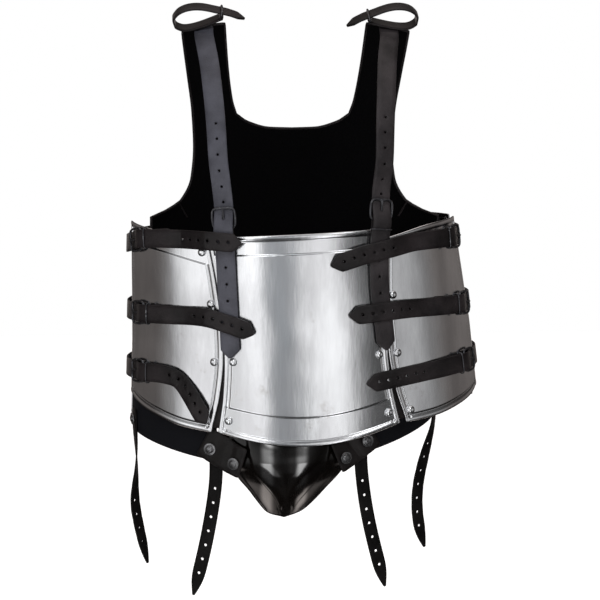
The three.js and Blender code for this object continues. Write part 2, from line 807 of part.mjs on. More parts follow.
function vestPoint(angle, up, shrink) {
  const read = (key) => readTable(vestRows.map((row) => [row.up, row[key]]), up);
  const halfWidth = read('width') * vestSectionWidth - shrink;
  const halfDepth = Math.max(read('depth') * vestSectionDepth - shrink, 1);
  const shift = vestShift + (hipShift - vestShift) * read('shift');
  const z = up > 0 ? up * shoulderHeight : up * vestDrop;
  return new THREE.Vector3(halfWidth * Math.sin(angle) + shift, halfDepth * Math.cos(angle), z);
}

function vestSheet() {
  const columns = 15;
  const wrap = THREE.MathUtils.degToRad(84);
  return slab(columns, vestRows.length, (column, row, face) => {
    const angle = wrap * ((2 * column) / (columns - 1) - 1);
    return vestPoint(angle, vestRows[row].up, face === 1 ? 0 : vestThickness);
  });
}

// Outline of the right half of the vest, as shares of vestHalfWidth and shoulderHeight
const armRows = [
  { out: 1, up: 0.352 }, { out: 0.945, up: 0.357 }, { out: 0.885, up: 0.367 }, { out: 0.79, up: 0.395 },
  { out: 0.715, up: 0.47 }, { out: 0.695, up: 0.58 }, { out: 0.705, up: 0.7 }, { out: 0.735, up: 0.84 },
  { out: 0.765, up: 0.973 },
];
const neckRows = [
  { out: 0.485, up: 1 }, { out: 0.46, up: 0.845 }, { out: 0.43, up: 0.737 }, { out: 0.4, up: 0.688 },
  { out: 0.32, up: 0.66 }, { out: 0.16, up: 0.637 }, { out: 0, up: 0.634 },
];

function vestOutline() {
  const toPoint = ({ out, up }) => new THREE.Vector2(out * vestHalfWidth, up * shoulderHeight);
  const right = [...armRows, ...neckRows].map(toPoint);
  const left = right.slice(0, -1).reverse().map(({ x, y }) => new THREE.Vector2(-x, y));
  const bottom = [-1, 1].map((sign) => new THREE.Vector2(sign * vestHalfWidth, -2 * vestDrop));
  const shape = new THREE.Shape([...bottom, ...right, ...left]);
  const prism = new THREE.ExtrudeGeometry(shape, { depth: 3 * vestSectionDepth, bevelEnabled: false });
  prism.rotateX(Math.PI / 2);
  prism.translate(vestShift, 2 * vestSectionDepth, 0);
  return prism;
}

addPiece(harness, 'vest', toGeometry(toSolid(vestSheet()).intersect(toSolid(vestOutline()))), blackCloth);

// Shoulder straps: free rows above the buckle, up as a share of shoulderHeight, forward as a
// share of bodyHalfDepth, and out as a share of shoulderMiddle
const shoulderRows = [
  { up: 0.56, forward: 0.87, out: 0.865 },
  { up: 0.68, forward: 0.77, out: 0.885 },
  { up: 0.8, forward: 0.55, out: 0.92 },
  { up: 0.9, forward: 0.27, out: 0.96 },
  { up: 0.955, forward: 0.09, out: 1 },
];

// The part on the plates: arc from the middle as a share of shoulderMiddle, and rise as a share
// of shoulderPivotHeight
const shoulderPlateRows = {
  left: [{ arc: -0.79, rise: -0.14 }, { arc: -0.79, rise: 0.5 }, { arc: -0.79, rise: 1.29 }],
  right: [{ arc: 0.84, rise: -0.14 }, { arc: 0.84, rise: 0.5 }, { arc: 1.0, rise: 1.29 }],
};
const shoulderSeat = 0.982;

function shoulderSet({ word, sign }) {
  const onPlate = bodyRoute(shoulderPlateRows[word].map(({ arc, rise }) => (
    { arc: arc * shoulderMiddle, height: rise * shoulderPivotHeight }
  )));
  const seat = vestPoint(Math.asin(shoulderMiddle / vestSectionWidth), shoulderSeat, vestThickness);
  const free = shoulderRows.map(({ up, forward, out }) => unrolled(
    new THREE.Vector3(vestShift + sign * out * shoulderMiddle, -forward * bodyHalfDepth, up * shoulderHeight),
  ));
  const seatFront = seat.y - 2 * touchGap - strapThickness / 2;
  free.push(unrolled(new THREE.Vector3(vestShift + sign * shoulderMiddle, seatFront, seat.z)));
  const joined = new THREE.CatmullRomCurve3([...onPlate.points.slice(-2), ...free]).getSpacedPoints(30);
  const last = onPlate.outs[onPlate.outs.length - 1];
  const freeOuts = joined.map((point, i) => {
    const along = joined[Math.min(i + 1, joined.length - 1)].clone().sub(joined[Math.max(i - 1, 0)]);
    const side = new THREE.Vector3().crossVectors(upAxis, last).normalize();
    return new THREE.Vector3().crossVectors(along, side).negate().normalize();
  });
  const aimed = freeOuts.map((out) => (out.dot(last) < 0 ? out.negate() : out));
  const route = new Route(
    [...onPlate.points.slice(0, -2), ...joined],
    [...onPlate.outs.slice(0, -2), ...aimed],
  );
  const pivot = onPlate.marks[onPlate.points.findIndex(({ z }) => z >= shoulderPivotHeight)];
  const set = new BuckleSet(route, pivot, shoulderStrapWidth, shoulderChapeLength);
  const near = buckleLifts(shoulderChapeLength).map(([distance, lift]) => [pivot + distance, lift]);
  const lifts = [[0, overRivet], ...near.slice(1), [route.length, strapLow + strapSlack]];
  return { route, pivot, set, lifts };
}

const shoulderSets = Object.fromEntries(sides.map((side) => [side.word, shoulderSet(side)]));
const waistSets = waistStraps.map((row) => ({ row, ...waistSet(row) }));

function plateWithRivets(plate, rivetShapes) {
  return combine(plate, rivetShapes);
}

// Front plate, side plates and back plate, each joined with its own rivets
const middleRivets = sides.flatMap(({ sign }) => seamRivets(sign))
  .filter(({ inner }) => inner !== null)
  .map(({ inner, height }) => seamRivetGeometry(inner, height));
const shoulderRivets = sides.flatMap(({ word }) => shoulderSets[word].set.rivet());
addPiece(belt, 'front_plate', plateWithRivets(frontPlateGeometry(), [...middleRivets, ...shoulderRivets]),
  polishedSteel);

for (const { word, sign } of sides) {
  const seam = seamRivets(sign).map(({ outer, height }) => seamRivetGeometry(outer, height));
  const own = waistSets.filter(({ row }) => row.side === sign).flatMap(({ set }) => set.rivet());
  const plate = plateWithRivets(sidePlateGeometry(sign), [...seam, ...own]);
  addPiece(belt, `side_plate_${word}`, plate, polishedSteel);
  addPiece(belt, `joint_strip_${word}`, jointStripGeometry(sign), brownLeather);
}

// A strap's rear rivet on the back plate
function rearRivet({ route }) {
  const place = route.at(route.length - rearRivetInset);
  const shank = pin(place, rivetShank, -plateThickness - rivetPeen, strapThickness + 2 * touchGap + 0.1);
  const head = pin(place, rivetRadius, strapThickness + 2 * touchGap, strapThickness + rivetDome, 6);
  return { place, shapes: [shank, head] };
}

const rearRivets = waistSets.flatMap((entry) => rearRivet(entry).shapes);
addPiece(belt, 'back_plate', plateWithRivets(backPlateGeometry(), rearRivets), polishedSteel);

// Waist straps with their buckles, chapes and keepers
for (const entry of waistSets) {
  const { row, route, pivot, set, lifts } = entry;
  const first = 14;
  const used = Array.from({ length: 6 }, (_, i) => first + i * holePitch)
    .filter((distance) => distance < pivot - chapeLength + chapeStraight);
  const rear = pin(rearRivet(entry).place, rivetShank + touchGap, -1, 4);
  const strap = strapGeometry(route, waistStrapWidth, lifts, set, used, route.length);
  addPiece(belt, `waist_strap_${row.name}`, combine(strap, [], [rear]), brownLeather);
  addPiece(belt, `waist_buckle_${row.name}`, set.buckle(), darkSteel);
  addPiece(belt, `waist_chape_${row.name}`, set.chape(), brownLeather);
  addPiece(belt, `waist_keeper_${row.name}`, set.keeper(), darkSteel);
}

// Shoulder straps with their buckles, chapes and keepers
for (const { word } of sides) {
  const { route, pivot, set, lifts } = shoulderSets[word];
  const tailHoles = [62, 80, 98];
  const upperHoles = Array.from({ length: 6 }, (_, i) => pivot + buckleLength + 6 + i * shoulderHolePitch);
  const holes = [...tailHoles, ...upperHoles];
  const strap = strapGeometry(route, shoulderStrapWidth, lifts, set, holes, route.length);
  addPiece(belt, `shoulder_strap_${word}`, strap, word === 'left' ? greyLeather : brownLeather);
  addPiece(belt, `shoulder_buckle_${word}`, set.buckle(), darkSteel);
  addPiece(belt, `shoulder_chape_${word}`, set.chape(), brownLeather);
  addPiece(belt, `shoulder_keeper_${word}`, set.keeper(), darkSteel);
}

// Shoulder loops: out and up from the shoulder's middle as shares of loopReach. The strap's end
// wraps the buckle's heel bar, runs round the loop and back through the buckle.
const loopRows = [
  { out: -0.08, up: 0.07 }, { out: 0.3, up: -0.06 }, { out: 0.58, up: -0.08 }, { out: 0.74, up: 0.06 },
  { out: 0.74, up: 0.24 }, { out: 0.56, up: 0.4 }, { out: 0.28, up: 0.48 }, { out: 0, up: 0.47 },
  { out: -0.2, up: 0.42 },
];
const loopTailRows = [{ out: -0.7, up: 0.3 }, { out: -1, up: 0.16 }];
const loopBar = { out: -0.4, up: 0.26 };
const loopLean = { left: 0, right: -9 };

function loopPlace({ out, up }) {
  return new THREE.Vector3(out * loopReach, 0, up * loopReach);
}

function loopFrames() {
  const bar = loopPlace(loopBar);
  const along = loopPlace(loopTailRows[0]).sub(loopPlace(loopRows[loopRows.length - 1])).normalize();
  const out = new THREE.Vector3(along.z, 0, -along.x);
  const radius = loopWire + touchGap + strapThickness / 2;
  const lift = radius + strapThickness + touchGap;
  const wrap = [0, 1, 2, 3].map((step) => {
    const turn = (Math.PI * step) / 3;
    const lifted = bar.clone().addScaledVector(out, radius * Math.cos(turn));
    return lifted.addScaledVector(along, radius * Math.sin(turn));
  });
  const crossing = bar.clone().addScaledVector(out, lift);
  return { bar, along, out, wrap, crossing, lift };
}

function loopPieces({ word, sign }) {
  const { bar, along, out, wrap, crossing, lift } = loopFrames();
  const rows = [...loopRows.map(loopPlace), crossing, ...loopTailRows.map(loopPlace)];
  const curve = new THREE.CatmullRomCurve3([wrap[3], ...rows]).getSpacedPoints(17);
  const points = [...wrap.slice(0, 3), ...curve];
  const across = new THREE.Vector3(0, 1, 0);
  const last = points.length - 1;
  const stations = points.map((point, i) => ({ point, across, half: i === last ? 1.5 : loopWidth / 2 }));
  const tongue = [bar, bar.clone().addScaledVector(out, lift + 5)];
  const passage = rod(tongue, [tongueRadius + tongueGap, tongueRadius + tongueGap], 6);
  const strap = combine(ribbon(stations, strapThickness), [], [passage]);
  const half = loopWidth / 2 + buckleSideGap + loopWire;
  const frame = { point: bar, along: out, across };
  const ringTop = lift + strapThickness / 2 + touchGap + loopWire;
  const ring = ringRod(wirePath(frame, 0, ringTop, half, 2), loopWire, 6);
  const buckle = combine(ring, [rod(tongue, [tongueRadius, tongueRadius * 0.8], 6)]);
  const group = new THREE.Group();
  group.position.set(vestShift + sign * shoulderMiddle, loopStand, shoulderHeight + loopRaise[word]);
  group.rotation.set(loopTilt, THREE.MathUtils.degToRad(loopLean[word]), 0);
  if (sign < 0) group.scale.x = -1;
  addPiece(group, `loop_strap_${word}`, strap, greyLeather);
  addPiece(group, `loop_buckle_${word}`, buckle, darkSteel);
  return group;
}

for (const side of sides) harness.add(loopPieces(side));

// Hip belt: an open band round the hips, dipping to the cup in front
function hipPoint(angle, lift) {
  const height = hipSideHeight - hipFrontDip * Math.max(0, Math.cos(angle)) ** 2;
  return new THREE.Vector3(
    (hipHalfWidth + lift) * Math.sin(angle) + hipShift,
    -(hipHalfDepth + lift) * Math.cos(angle),
    height,
  );
}

function hipOut(angle) {
  return new THREE.Vector3(Math.sin(angle) / hipHalfWidth, -Math.cos(angle) / hipHalfDepth, 0).normalize();
}

const beltOuter = hipBeltThickness * 1.5;
const beltInner = hipBeltThickness * 0.5;

// Groin cup: rows down from cupTop as shares of cupHeight, with the half width as a share of
// cupHalfWidth, and the middle's and edge's depths as shares of cupDepth. The ridge column
// is where the raised middle panel ends, as a share of the row's half width.
const cupRows = [
  { down: 0, half: 1, middle: 0.93, edge: 0.79, ridge: 0.62 },
  { down: 0.2, half: 1, middle: 0.98, edge: 0.79, ridge: 0.6 },
  { down: 0.34, half: 1, middle: 1, edge: 0.78, ridge: 0.56 },
  { down: 0.43, half: 0.88, middle: 1, edge: 0.75, ridge: 0.6 },
  { down: 0.55, half: 0.76, middle: 0.97, edge: 0.71, ridge: 0.53 },
  { down: 0.67, half: 0.62, middle: 0.91, edge: 0.66, ridge: 0.43 },
  { down: 0.84, half: 0.43, middle: 0.79, edge: 0.6, ridge: 0.28 },
  { down: 0.95, half: 0.28, middle: 0.69, edge: 0.56, ridge: 0.25 },
  { down: 1, half: 0.1, middle: 0.62, edge: 0.55, ridge: 0.25 },
];

function cupDepthAt(share, down) {
  const read = (key) => readTable(cupRows.map((row) => [row.down, row[key]]), down);
  const bulge = Math.cos((Math.min(1, Math.abs(share)) * Math.PI) / 2) ** 0.8;
  return cupDepth * (read('edge') + (read('middle') - read('edge')) * bulge);
}

function cupSheet() {
  return slab(13, cupRows.length, (column, row, face) => {
    const { down, half, ridge } = cupRows[row];
    const outer = [0.85, 0.92, 1];
    const shares = [0, ridge / 2, ridge, ridge + 0.08, ...outer];
    const share = Math.sign(column - 6) * shares[Math.abs(column - 6)];
    const isRim = Math.abs(share) > 0.9;
    const isPanel = Math.abs(share) < ridge + 0.01;
    const relief = isRim || isPanel ? 0 : -cupRelief;
    const depth = cupDepthAt(share, down) + relief - (face === 1 ? 0 : cupWall);
    const sway = cupSway * 2 * Math.max(0, down - 0.3) ** 2;
    const x = share * half * cupHalfWidth + hipShift - sway;
    return new THREE.Vector3(x, -depth, cupTop - down * cupHeight);
  });
}

// Cup tabs: out from the cup's middle as shares of cupHalfWidth, and height as a share of
// cupHeight below cupTop. The first rows lie on the belt and the last on the cup.
const tabRows = [
  { out: 1.3, down: 0.13, isOnCup: false },
  { out: 1.2, down: 0.175, isOnCup: false },
  { out: 1.08, down: 0.22, isOnCup: false },
  { out: 0.97, down: 0.28, isOnCup: true },
  { out: 0.85, down: 0.33, isOnCup: true },
  { out: 0.72, down: 0.37, isOnCup: true },
];

function tabStations(sign) {
  return tabRows.map(({ out, down, isOnCup }) => {
    const x = out * cupHalfWidth;
    const angle = Math.asin(x / (hipHalfWidth + beltOuter));
    const onBelt = (hipHalfDepth + beltOuter) * Math.cos(angle) + tabSeat / 2;
    const depth = isOnCup ? cupDepthAt(out, down) + tabSeat : onBelt;
    const y = -(depth + touchGap + tabThickness / 2);
    return new THREE.Vector3(sign * x + hipShift, y, cupTop - down * cupHeight);
  });
}

function frameAt(points, index, across) {
  const along = points[index + 1].clone().sub(points[index - 1]).normalize();
  const out = new THREE.Vector3().crossVectors(along, across).normalize();
  if (out.y > 0) out.negate();
  return { point: points[index], out };
}

// A hip rivet with a washer: reach is how deep its inner head lies below the tab's middle
function hipRivetGeometry({ point, out }, reach) {
  const face = tabThickness / 2 + 2.6 * touchGap;
  const profile = [
    [0, -reach - 1], [washerRadius * 0.6, -reach], [rivetShank, -reach],
    [rivetShank, face], [washerRadius, face], [washerRadius * 0.9, face + 0.9],
    [washerRadius * 0.4, face + 1.3], [0, face + 2.6],
  ];
  const geometry = new THREE.LatheGeometry(profile.map(([x, y]) => new THREE.Vector2(x, y)), 6);
  geometry.applyQuaternion(new THREE.Quaternion().setFromUnitVectors(depthAxis, out));
  geometry.translate(point.x, point.y, point.z);
  return geometry;
}

// Hanging straps: inner ones start behind the belt at the tabs, outer ones on it at the sides.
// Rows: down and sway as shares of hangerLength, and turn in degrees.
const hangers = [
  { name: 'outer_left', angle: -80, isOuter: true, rows: [
    { down: 0, sway: 0, turn: -74 }, { down: 0.12, sway: 0.006, turn: -74 },
    { down: 0.3, sway: 0.012, turn: -92 },
    { down: 0.56, sway: -0.005, turn: -130 }, { down: 0.7, sway: 0.015, turn: -130 },
    { down: 1, sway: 0.08, turn: -120 },
  ] },
  { name: 'inner_left', angle: -29, isOuter: false, rows: [
    { down: 0, sway: 0, turn: -19 }, { down: 0.2, sway: 0.005, turn: -19 },
    { down: 0.6, sway: -0.055, turn: -15 }, { down: 1, sway: -0.15, turn: -15 },
  ] },
  { name: 'inner_right', angle: 29, isOuter: false, rows: [
    { down: 0, sway: 0, turn: 19 }, { down: 0.13, sway: -0.005, turn: 19 },
    { down: 0.5, sway: 0.04, turn: 15 }, { down: 1, sway: 0.16, turn: 15 },
  ] },
  { name: 'outer_right', angle: 80, isOuter: true, rows: [
    { down: 0, sway: 0.003, turn: 75 }, { down: 0.12, sway: 0.003, turn: 75 },
    { down: 0.34, sway: -0.055, turn: 42 },
    { down: 0.6, sway: -0.107, turn: 32 }, { down: 0.82, sway: -0.1, turn: 30 },
    { down: 1, sway: -0.055, turn: 30 },
  ] },
];

function hangerStart({ angle, isOuter }) {
  const turn = THREE.MathUtils.degToRad(angle);
  const outerLift = beltOuter + touchGap + strapThickness / 2;
  const innerLift = beltInner - 1.6 * touchGap - strapThickness / 2;
  const lift = isOuter ? outerLift : innerLift;
  return { point: hipPoint(turn, lift), out: hipOut(turn) };
}

function hangerRoute(hanger) {
  const start = rolled(hangerStart(hanger).point);
  const top = start.clone().addScaledVector(upAxis, hangerTop);
  const low = hanger.rows.map(({ down, sway }) => new THREE.Vector3(
    start.x + sway * hangerLength,
    start.y,
    start.z - down * hangerLength,
  ));
  const points = new THREE.CatmullRomCurve3([top, ...low]).getSpacedPoints(20);
  const outs = points.map(({ z }) => {
    const turn = readTable(hanger.rows.map((row) => [row.down, row.turn]), (start.z - z) / hangerLength);
    const angle = THREE.MathUtils.degToRad(turn);
    return new THREE.Vector3(Math.sin(angle), -Math.cos(angle), 0);
  });
  return new Route(points, outs);
}

function hangerGeometry(hanger, cutter) {
  const route = hangerRoute(hanger);
  const steps = 10;
  const stations = Array.from({ length: steps + 1 }, (_, i) => {
    const place = route.at(Math.min((i * route.length) / steps, route.length));
    return { point: place.point, across: place.across, half: i === steps ? 1.2 : hangerWidth / 2 };
  });
  const holes = Array.from({ length: 7 }, (_, i) => (
    pin(route.at(route.length - 26 - i * hangerHolePitch), holeRadius, -3, 3)
  ));
  return combine(ribbon(stations, strapThickness), [], [...holes, cutter]);
}

function hipBeltGeometry(cutters) {
  const start = Math.asin(hipBeltEnd / hipHalfWidth);
  const steps = 34;
  const stations = Array.from({ length: steps + 1 }, (_, i) => {
    const angle = start + ((2 * Math.PI - 2 * start) * i) / steps;
    const point = hipPoint(angle, hipBeltThickness).addScaledVector(upAxis, hipBeltRise);
    return { point, across: upAxis, half: hipBeltWidth / 2 };
  });
  return combine(ribbon(stations, hipBeltThickness), [], cutters);
}

// Hip rivets: two a tab, and one for each outer hanging strap
const rivetHole = rivetShank + 2 * touchGap;
const tabs = sides.map(({ word, sign }) => {
  const points = tabStations(sign);
  const across = new THREE.Vector3(0, 0, 1);
  return { word, sign, points, across, belt: frameAt(points, 1, across), cup: frameAt(points, 4, across) };
});
const beltReach = tabThickness / 2 + hipBeltThickness + strapThickness + 5 * touchGap;
const cupReach = tabThickness / 2 + tabSeat + cupRelief + cupWall + 5 * touchGap;
const outerReach = strapThickness / 2 + hipBeltThickness + 3 * touchGap;
const beltPins = tabs.map(({ belt: place }) => pin(place, rivetHole, -beltReach - 3, 3));
const cupPins = tabs.map(({ cup }) => pin(cup, rivetHole, -cupReach - 3, 3));
const outerHangers = hangers.filter(({ isOuter }) => isOuter);
const outerPins = outerHangers.map((hanger) => pin(hangerStart(hanger), rivetHole, -outerReach - 3, 3));

addPiece(belt, 'hip_belt', hipBeltGeometry([...beltPins, ...outerPins]), blackWebbing);
addPiece(belt, 'groin_cup', combine(cupSheet(), [], cupPins), blackGloss);

tabs.forEach(({ word, points, across, belt: beltPlace, cup: cupPlace }, i) => {
  const stations = points.map((point) => (
    { point: point.clone().addScaledVector(upAxis, tabRise), across, half: tabWidth / 2 }
  ));
  const tab = combine(ribbon(stations, tabThickness), [], [beltPins[i], cupPins[i]]);
  addPiece(belt, `cup_tab_${word}`, tab, brownLeather);
  addPiece(belt, `belt_rivet_${word}`, hipRivetGeometry(beltPlace, beltReach), darkSteel);
  addPiece(belt, `cup_rivet_${word}`, hipRivetGeometry(cupPlace, cupReach), darkSteel);
});

outerHangers.forEach((hanger) => {
  addPiece(belt, `hanger_rivet_${hanger.name}`, hipRivetGeometry(hangerStart(hanger), outerReach), darkSteel);
});

for (const hanger of hangers) {
  const index = (hanger.isOuter ? outerHangers : hangers.filter(({ isOuter }) => !isOuter)).indexOf(hanger);
  const cutter = (hanger.isOuter ? outerPins : beltPins)[index].clone();
  cutter.rotateY(-rollAngle);
  addPiece(harness, `hip_hanger_${hanger.name}`, hangerGeometry(hanger, cutter), brownLeather);
}

export default harness;
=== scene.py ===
"""Dresses the waist armour harness: steel plates, leather straps, vest, hip belt and groin cup."""

from __future__ import annotations

import logging
import math
from collections.abc import Callable, Sequence
from dataclasses import dataclass, field
from enum import Enum

import bmesh
import bpy
import numpy as np
from bmesh.types import BMEdge, BMesh, BMVert
from bpy.types import ColorRamp, Material, NodeSocket, NodeTree, Object
from mathutils import Matrix, Vector, noise

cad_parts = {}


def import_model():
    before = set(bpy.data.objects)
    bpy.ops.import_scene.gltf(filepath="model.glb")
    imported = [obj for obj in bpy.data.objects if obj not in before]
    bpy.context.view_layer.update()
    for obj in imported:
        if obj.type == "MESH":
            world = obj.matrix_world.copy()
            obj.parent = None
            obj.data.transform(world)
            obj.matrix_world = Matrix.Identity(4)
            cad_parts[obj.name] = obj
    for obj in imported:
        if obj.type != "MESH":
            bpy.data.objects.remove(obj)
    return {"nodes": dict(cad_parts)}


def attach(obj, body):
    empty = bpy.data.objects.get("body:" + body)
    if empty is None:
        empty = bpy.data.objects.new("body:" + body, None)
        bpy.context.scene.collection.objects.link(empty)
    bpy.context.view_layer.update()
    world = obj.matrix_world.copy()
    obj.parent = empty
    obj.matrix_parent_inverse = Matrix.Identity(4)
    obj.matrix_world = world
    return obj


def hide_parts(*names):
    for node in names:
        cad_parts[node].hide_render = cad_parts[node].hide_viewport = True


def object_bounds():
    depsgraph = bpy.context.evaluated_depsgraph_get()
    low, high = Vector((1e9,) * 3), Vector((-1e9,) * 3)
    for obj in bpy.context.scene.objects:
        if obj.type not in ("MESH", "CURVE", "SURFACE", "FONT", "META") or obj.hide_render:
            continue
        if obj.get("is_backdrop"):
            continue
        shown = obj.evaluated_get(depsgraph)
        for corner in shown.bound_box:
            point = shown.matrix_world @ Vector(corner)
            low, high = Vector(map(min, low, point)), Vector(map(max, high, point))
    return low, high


log = logging.getLogger("harness")

BODY = "root"
BELT_ROLL = math.radians(2.5)
NEAR_AXIS = 0.02
SOFT_EDGE = 0.0005
SHARP = math.radians(50)

Colour = tuple[float, float, float]
Pairs = Sequence[tuple[float, float]]


class Side(Enum):
    """The wearer's harness as the viewer sees it."""

    LEFT = ("left", -1)
    RIGHT = ("right", 1)

    @property
    def word(self) -> str:
        """The word in the node names."""
        return self.value[0]

    @property
    def sign(self) -> int:
        """The sign of X on that side."""
        return self.value[1]


# Shader graphs


class Signal:
    """A shader socket that takes part in Python expressions."""

    def __init__(self, graph: Graph, socket: NodeSocket) -> None:
        """Keeps the graph and the socket."""
        self.graph = graph
        self.socket = socket

    def call(self, operation: str, *others: Signal | float) -> Signal:
        """Any Math operation, such as SINE."""
        return self.graph.add("ShaderNodeMath", {"operation": operation}, [self, *others])

    def __add__(self, other: Signal | float) -> Signal:
        """Sum."""
        return self.call("ADD", other)

    __radd__ = __add__

    def __sub__(self, other: Signal | float) -> Signal:
        """Difference."""
        return self.call("SUBTRACT", other)

    def __rsub__(self, other: float) -> Signal:
        """Reflected difference."""
        return self.graph.add("ShaderNodeMath", {"operation": "SUBTRACT"}, [other, self])

    def __mul__(self, other: Signal | float) -> Signal:
        """Product."""
        return self.call("MULTIPLY", other)

    __rmul__ = __mul__

    def __truediv__(self, other: Signal | float) -> Signal:
        """Quotient."""
        return self.call("DIVIDE", other)

    def between(self, low: float, high: float, start: float = 0.0, end: float = 1.0) -> Signal:
        """Maps low..high smoothly to start..end and holds it there.

        Args:
            low: Input that gives start.
            high: Input that gives end.
            start: Result at low.
            end: Result at high.

        Returns:
            The mapped signal.
        """
        settings = {"interpolation_type": "SMOOTHSTEP"}
        return self.graph.add("ShaderNodeMapRange", settings, [self, low, high, start, end])


class Graph:
    """One material's or world's node tree."""

    def __init__(self, tree: NodeTree) -> None:
        """Empties the tree."""
        self.tree = tree
        tree.nodes.clear()

    def add(
        self,
        kind: str,
        settings: dict[str, object] | None = None,
        sockets: dict[str, object] | Sequence[object] = (),
        output: int | str = 0,
    ) -> Signal:
        """Adds a node.

        Args:
            kind: The node's type name.
            settings: Its own properties, set first. Stops fills a ramp.
            sockets: Values or links, by name or in order.
            output: Which output to return.

        Returns:
            The output as a signal.
        """
        node = self.tree.nodes.new(kind)
        for name, value in (settings or {}).items():
            if name == "stops":
                self._fill(node.color_ramp, value)
            else:
                setattr(node, name, value)
        pairs = sockets.items() if isinstance(sockets, dict) else enumerate(sockets)
        for name, value in pairs:
            self.fill(node.inputs[name], value)
        return Signal(self, node.outputs[output])

    @staticmethod
    def _fill(ramp: ColorRamp, stops: Pairs) -> None:
        """Puts grey stops of place and brightness in a ramp.

        Args:
            ramp: The ramp.
            stops: Its stops.
        """
        while len(ramp.elements) < len(stops):
            ramp.elements.new(0.5)
        for element, (place, grey) in zip(ramp.elements, stops):
            element.position = place
            element.color = (grey, grey, grey, 1)

    def place(self) -> Signal:
        """Object coordinates."""
        return self.add("ShaderNodeTexCoord", output="Object")

    def axes(self, vector: Signal) -> tuple[Signal, Signal, Signal]:
        """The three parts of a vector.

        Args:
            vector: The vector.

        Returns:
            Its X, Y and Z.
        """
        first = self.add("ShaderNodeSeparateXYZ", {}, [vector])
        outputs = first.socket.node.outputs
        return first, Signal(self, outputs[1]), Signal(self, outputs[2])

    def cloud(
        self, scale: float, detail: float = 4, vector: Signal | None = None, rough: float = 0.5,
    ) -> Signal:
        """Noise from 0 to 1.

        Args:
            scale: Waves in a metre.
            detail: Octaves.
            vector: Where it is read, or Object coordinates.
            rough: Share of the finer octaves.

        Returns:
            The noise.
        """
        sockets = {"Vector": vector or self.place(), "Scale": scale, "Detail": detail, "Roughness": rough}
        return self.add("ShaderNodeTexNoise", {}, sockets)

    def stretch(self, x: float, y: float, z: float) -> Signal:
        """Object coordinates scaled along each axis."""
        return self.add("ShaderNodeMapping", {}, {"Vector": self.place(), "Scale": (x, y, z)})

    def blend(self, share: Signal | float, low: Colour | Signal, high: Colour | Signal) -> Signal:
        """Mixes two colours.

        Args:
            share: 0 gives low and 1 gives high.
            low: First colour.
            high: Second colour.

        Returns:
            The mixed colour.
        """
        first, second = (end if isinstance(end, Signal) else (*end, 1) for end in (low, high))
        sockets = {"Factor_Float": share, "A_Color": first, "B_Color": second}
        node = self.tree.nodes.new("ShaderNodeMix")
        node.data_type = "RGBA"
        places = {socket.identifier: socket for socket in node.inputs}
        for name, value in sockets.items():
            self.fill(places[name], value)
        return Signal(self, next(socket for socket in node.outputs if socket.type == "RGBA"))

    def fill(self, socket: NodeSocket, value: object) -> None:
        """Links or sets one input.

        Args:
            socket: The input.
            value: A signal to link, or a value to set.
        """
        if isinstance(value, Signal):
            self.tree.links.new(value.socket, socket)
        elif value is not None:
            socket.default_value = value

    def end(self, kind: str, surface: Signal) -> None:
        """Sends a surface to the output node."""
        self.tree.links.new(surface.socket, self.tree.nodes.new(kind).inputs["Surface"])

    def bump(self, height: Signal, strength: float, distance: float) -> Signal:
        """A Bump node's normal."""
        sockets = {"Height": height, "Strength": strength, "Distance": distance}
        return self.add("ShaderNodeBump", {}, sockets, "Normal")


@dataclass(frozen=True)
class Finish:
    """A named finish of one Principled shader; each kind gives its own sockets."""

    name: str

    def sockets(self, graph: Graph) -> dict[str, object]:
        """The shader's sockets by name.

        Args:
            graph: The material's nodes.

        Returns:
            Values or links by socket name.
        """
        raise NotImplementedError

    def material(self) -> Material:
        """Builds the finish."""
        material = bpy.data.materials.new(self.name)
        material.use_nodes = True
        graph = Graph(material.node_tree)
        shader = graph.add("ShaderNodeBsdfPrincipled", {}, self.sockets(graph))
        graph.end("ShaderNodeOutputMaterial", shader)
        return material


@dataclass(frozen=True)
class PolishedSteel(Finish):
    """Steel sheet rubbed to a satin shine, with smears whose dull patches are also painted dark reflections,
    fine lines and a little tarnish.
    """

    name: str = "polished_steel"
    bright: Colour = (0.86, 0.87, 0.89)
    dull: Colour = (0.68, 0.68, 0.70)
    tarnish: Colour = (0.40, 0.33, 0.28)

    def sockets(self, graph: Graph) -> dict[str, object]:
        """Sockets of the steel."""
        smear_and_reflection = graph.cloud(1, 5, graph.stretch(26, 26, 7), rough=0.6)
        lines = graph.cloud(1, 3, graph.stretch(420, 420, 40))
        stains = graph.cloud(38, 6, rough=0.7).between(0.58, 0.78)
        # The dull upright patches are partly polish smears and partly painted reflection of dark
        # surroundings.
        colour = graph.blend(smear_and_reflection.between(0.3, 0.75), self.bright, self.dull)
        colour = graph.blend(stains * 0.3, colour, self.tarnish)
        rough = smear_and_reflection.between(0.25, 0.8, 0.13, 0.22) + lines * 0.04 + stains * 0.08
        relief = lines * 0.06 + smear_and_reflection * 2
        return {
            "Base Color": colour, "Metallic": 1.0, "Roughness": rough,
            "Normal": graph.bump(relief, 0.4, 0.0004),
        }


@dataclass(frozen=True)
class BlackenedSteel(Finish):
    """Dark oiled steel of buckles, keepers and hip rivets, rubbed bright in places."""

    name: str = "blackened_steel"
    dark: Colour = (0.08, 0.08, 0.088)
    rubbed: Colour = (0.6, 0.6, 0.62)
    roughness: float = 0.3

    def sockets(self, graph: Graph) -> dict[str, object]:
        """Sockets of the dark steel."""
        wear = graph.cloud(260, 5, rough=0.65).between(0.55, 0.72)
        return {
            "Base Color": graph.blend(wear * 0.6, self.dark, self.rubbed),
            "Metallic": 0.9,
            "Roughness": self.roughness - wear * 0.14,
            "Normal": graph.bump(graph.cloud(900, 2), 0.3, 0.0001),
        }


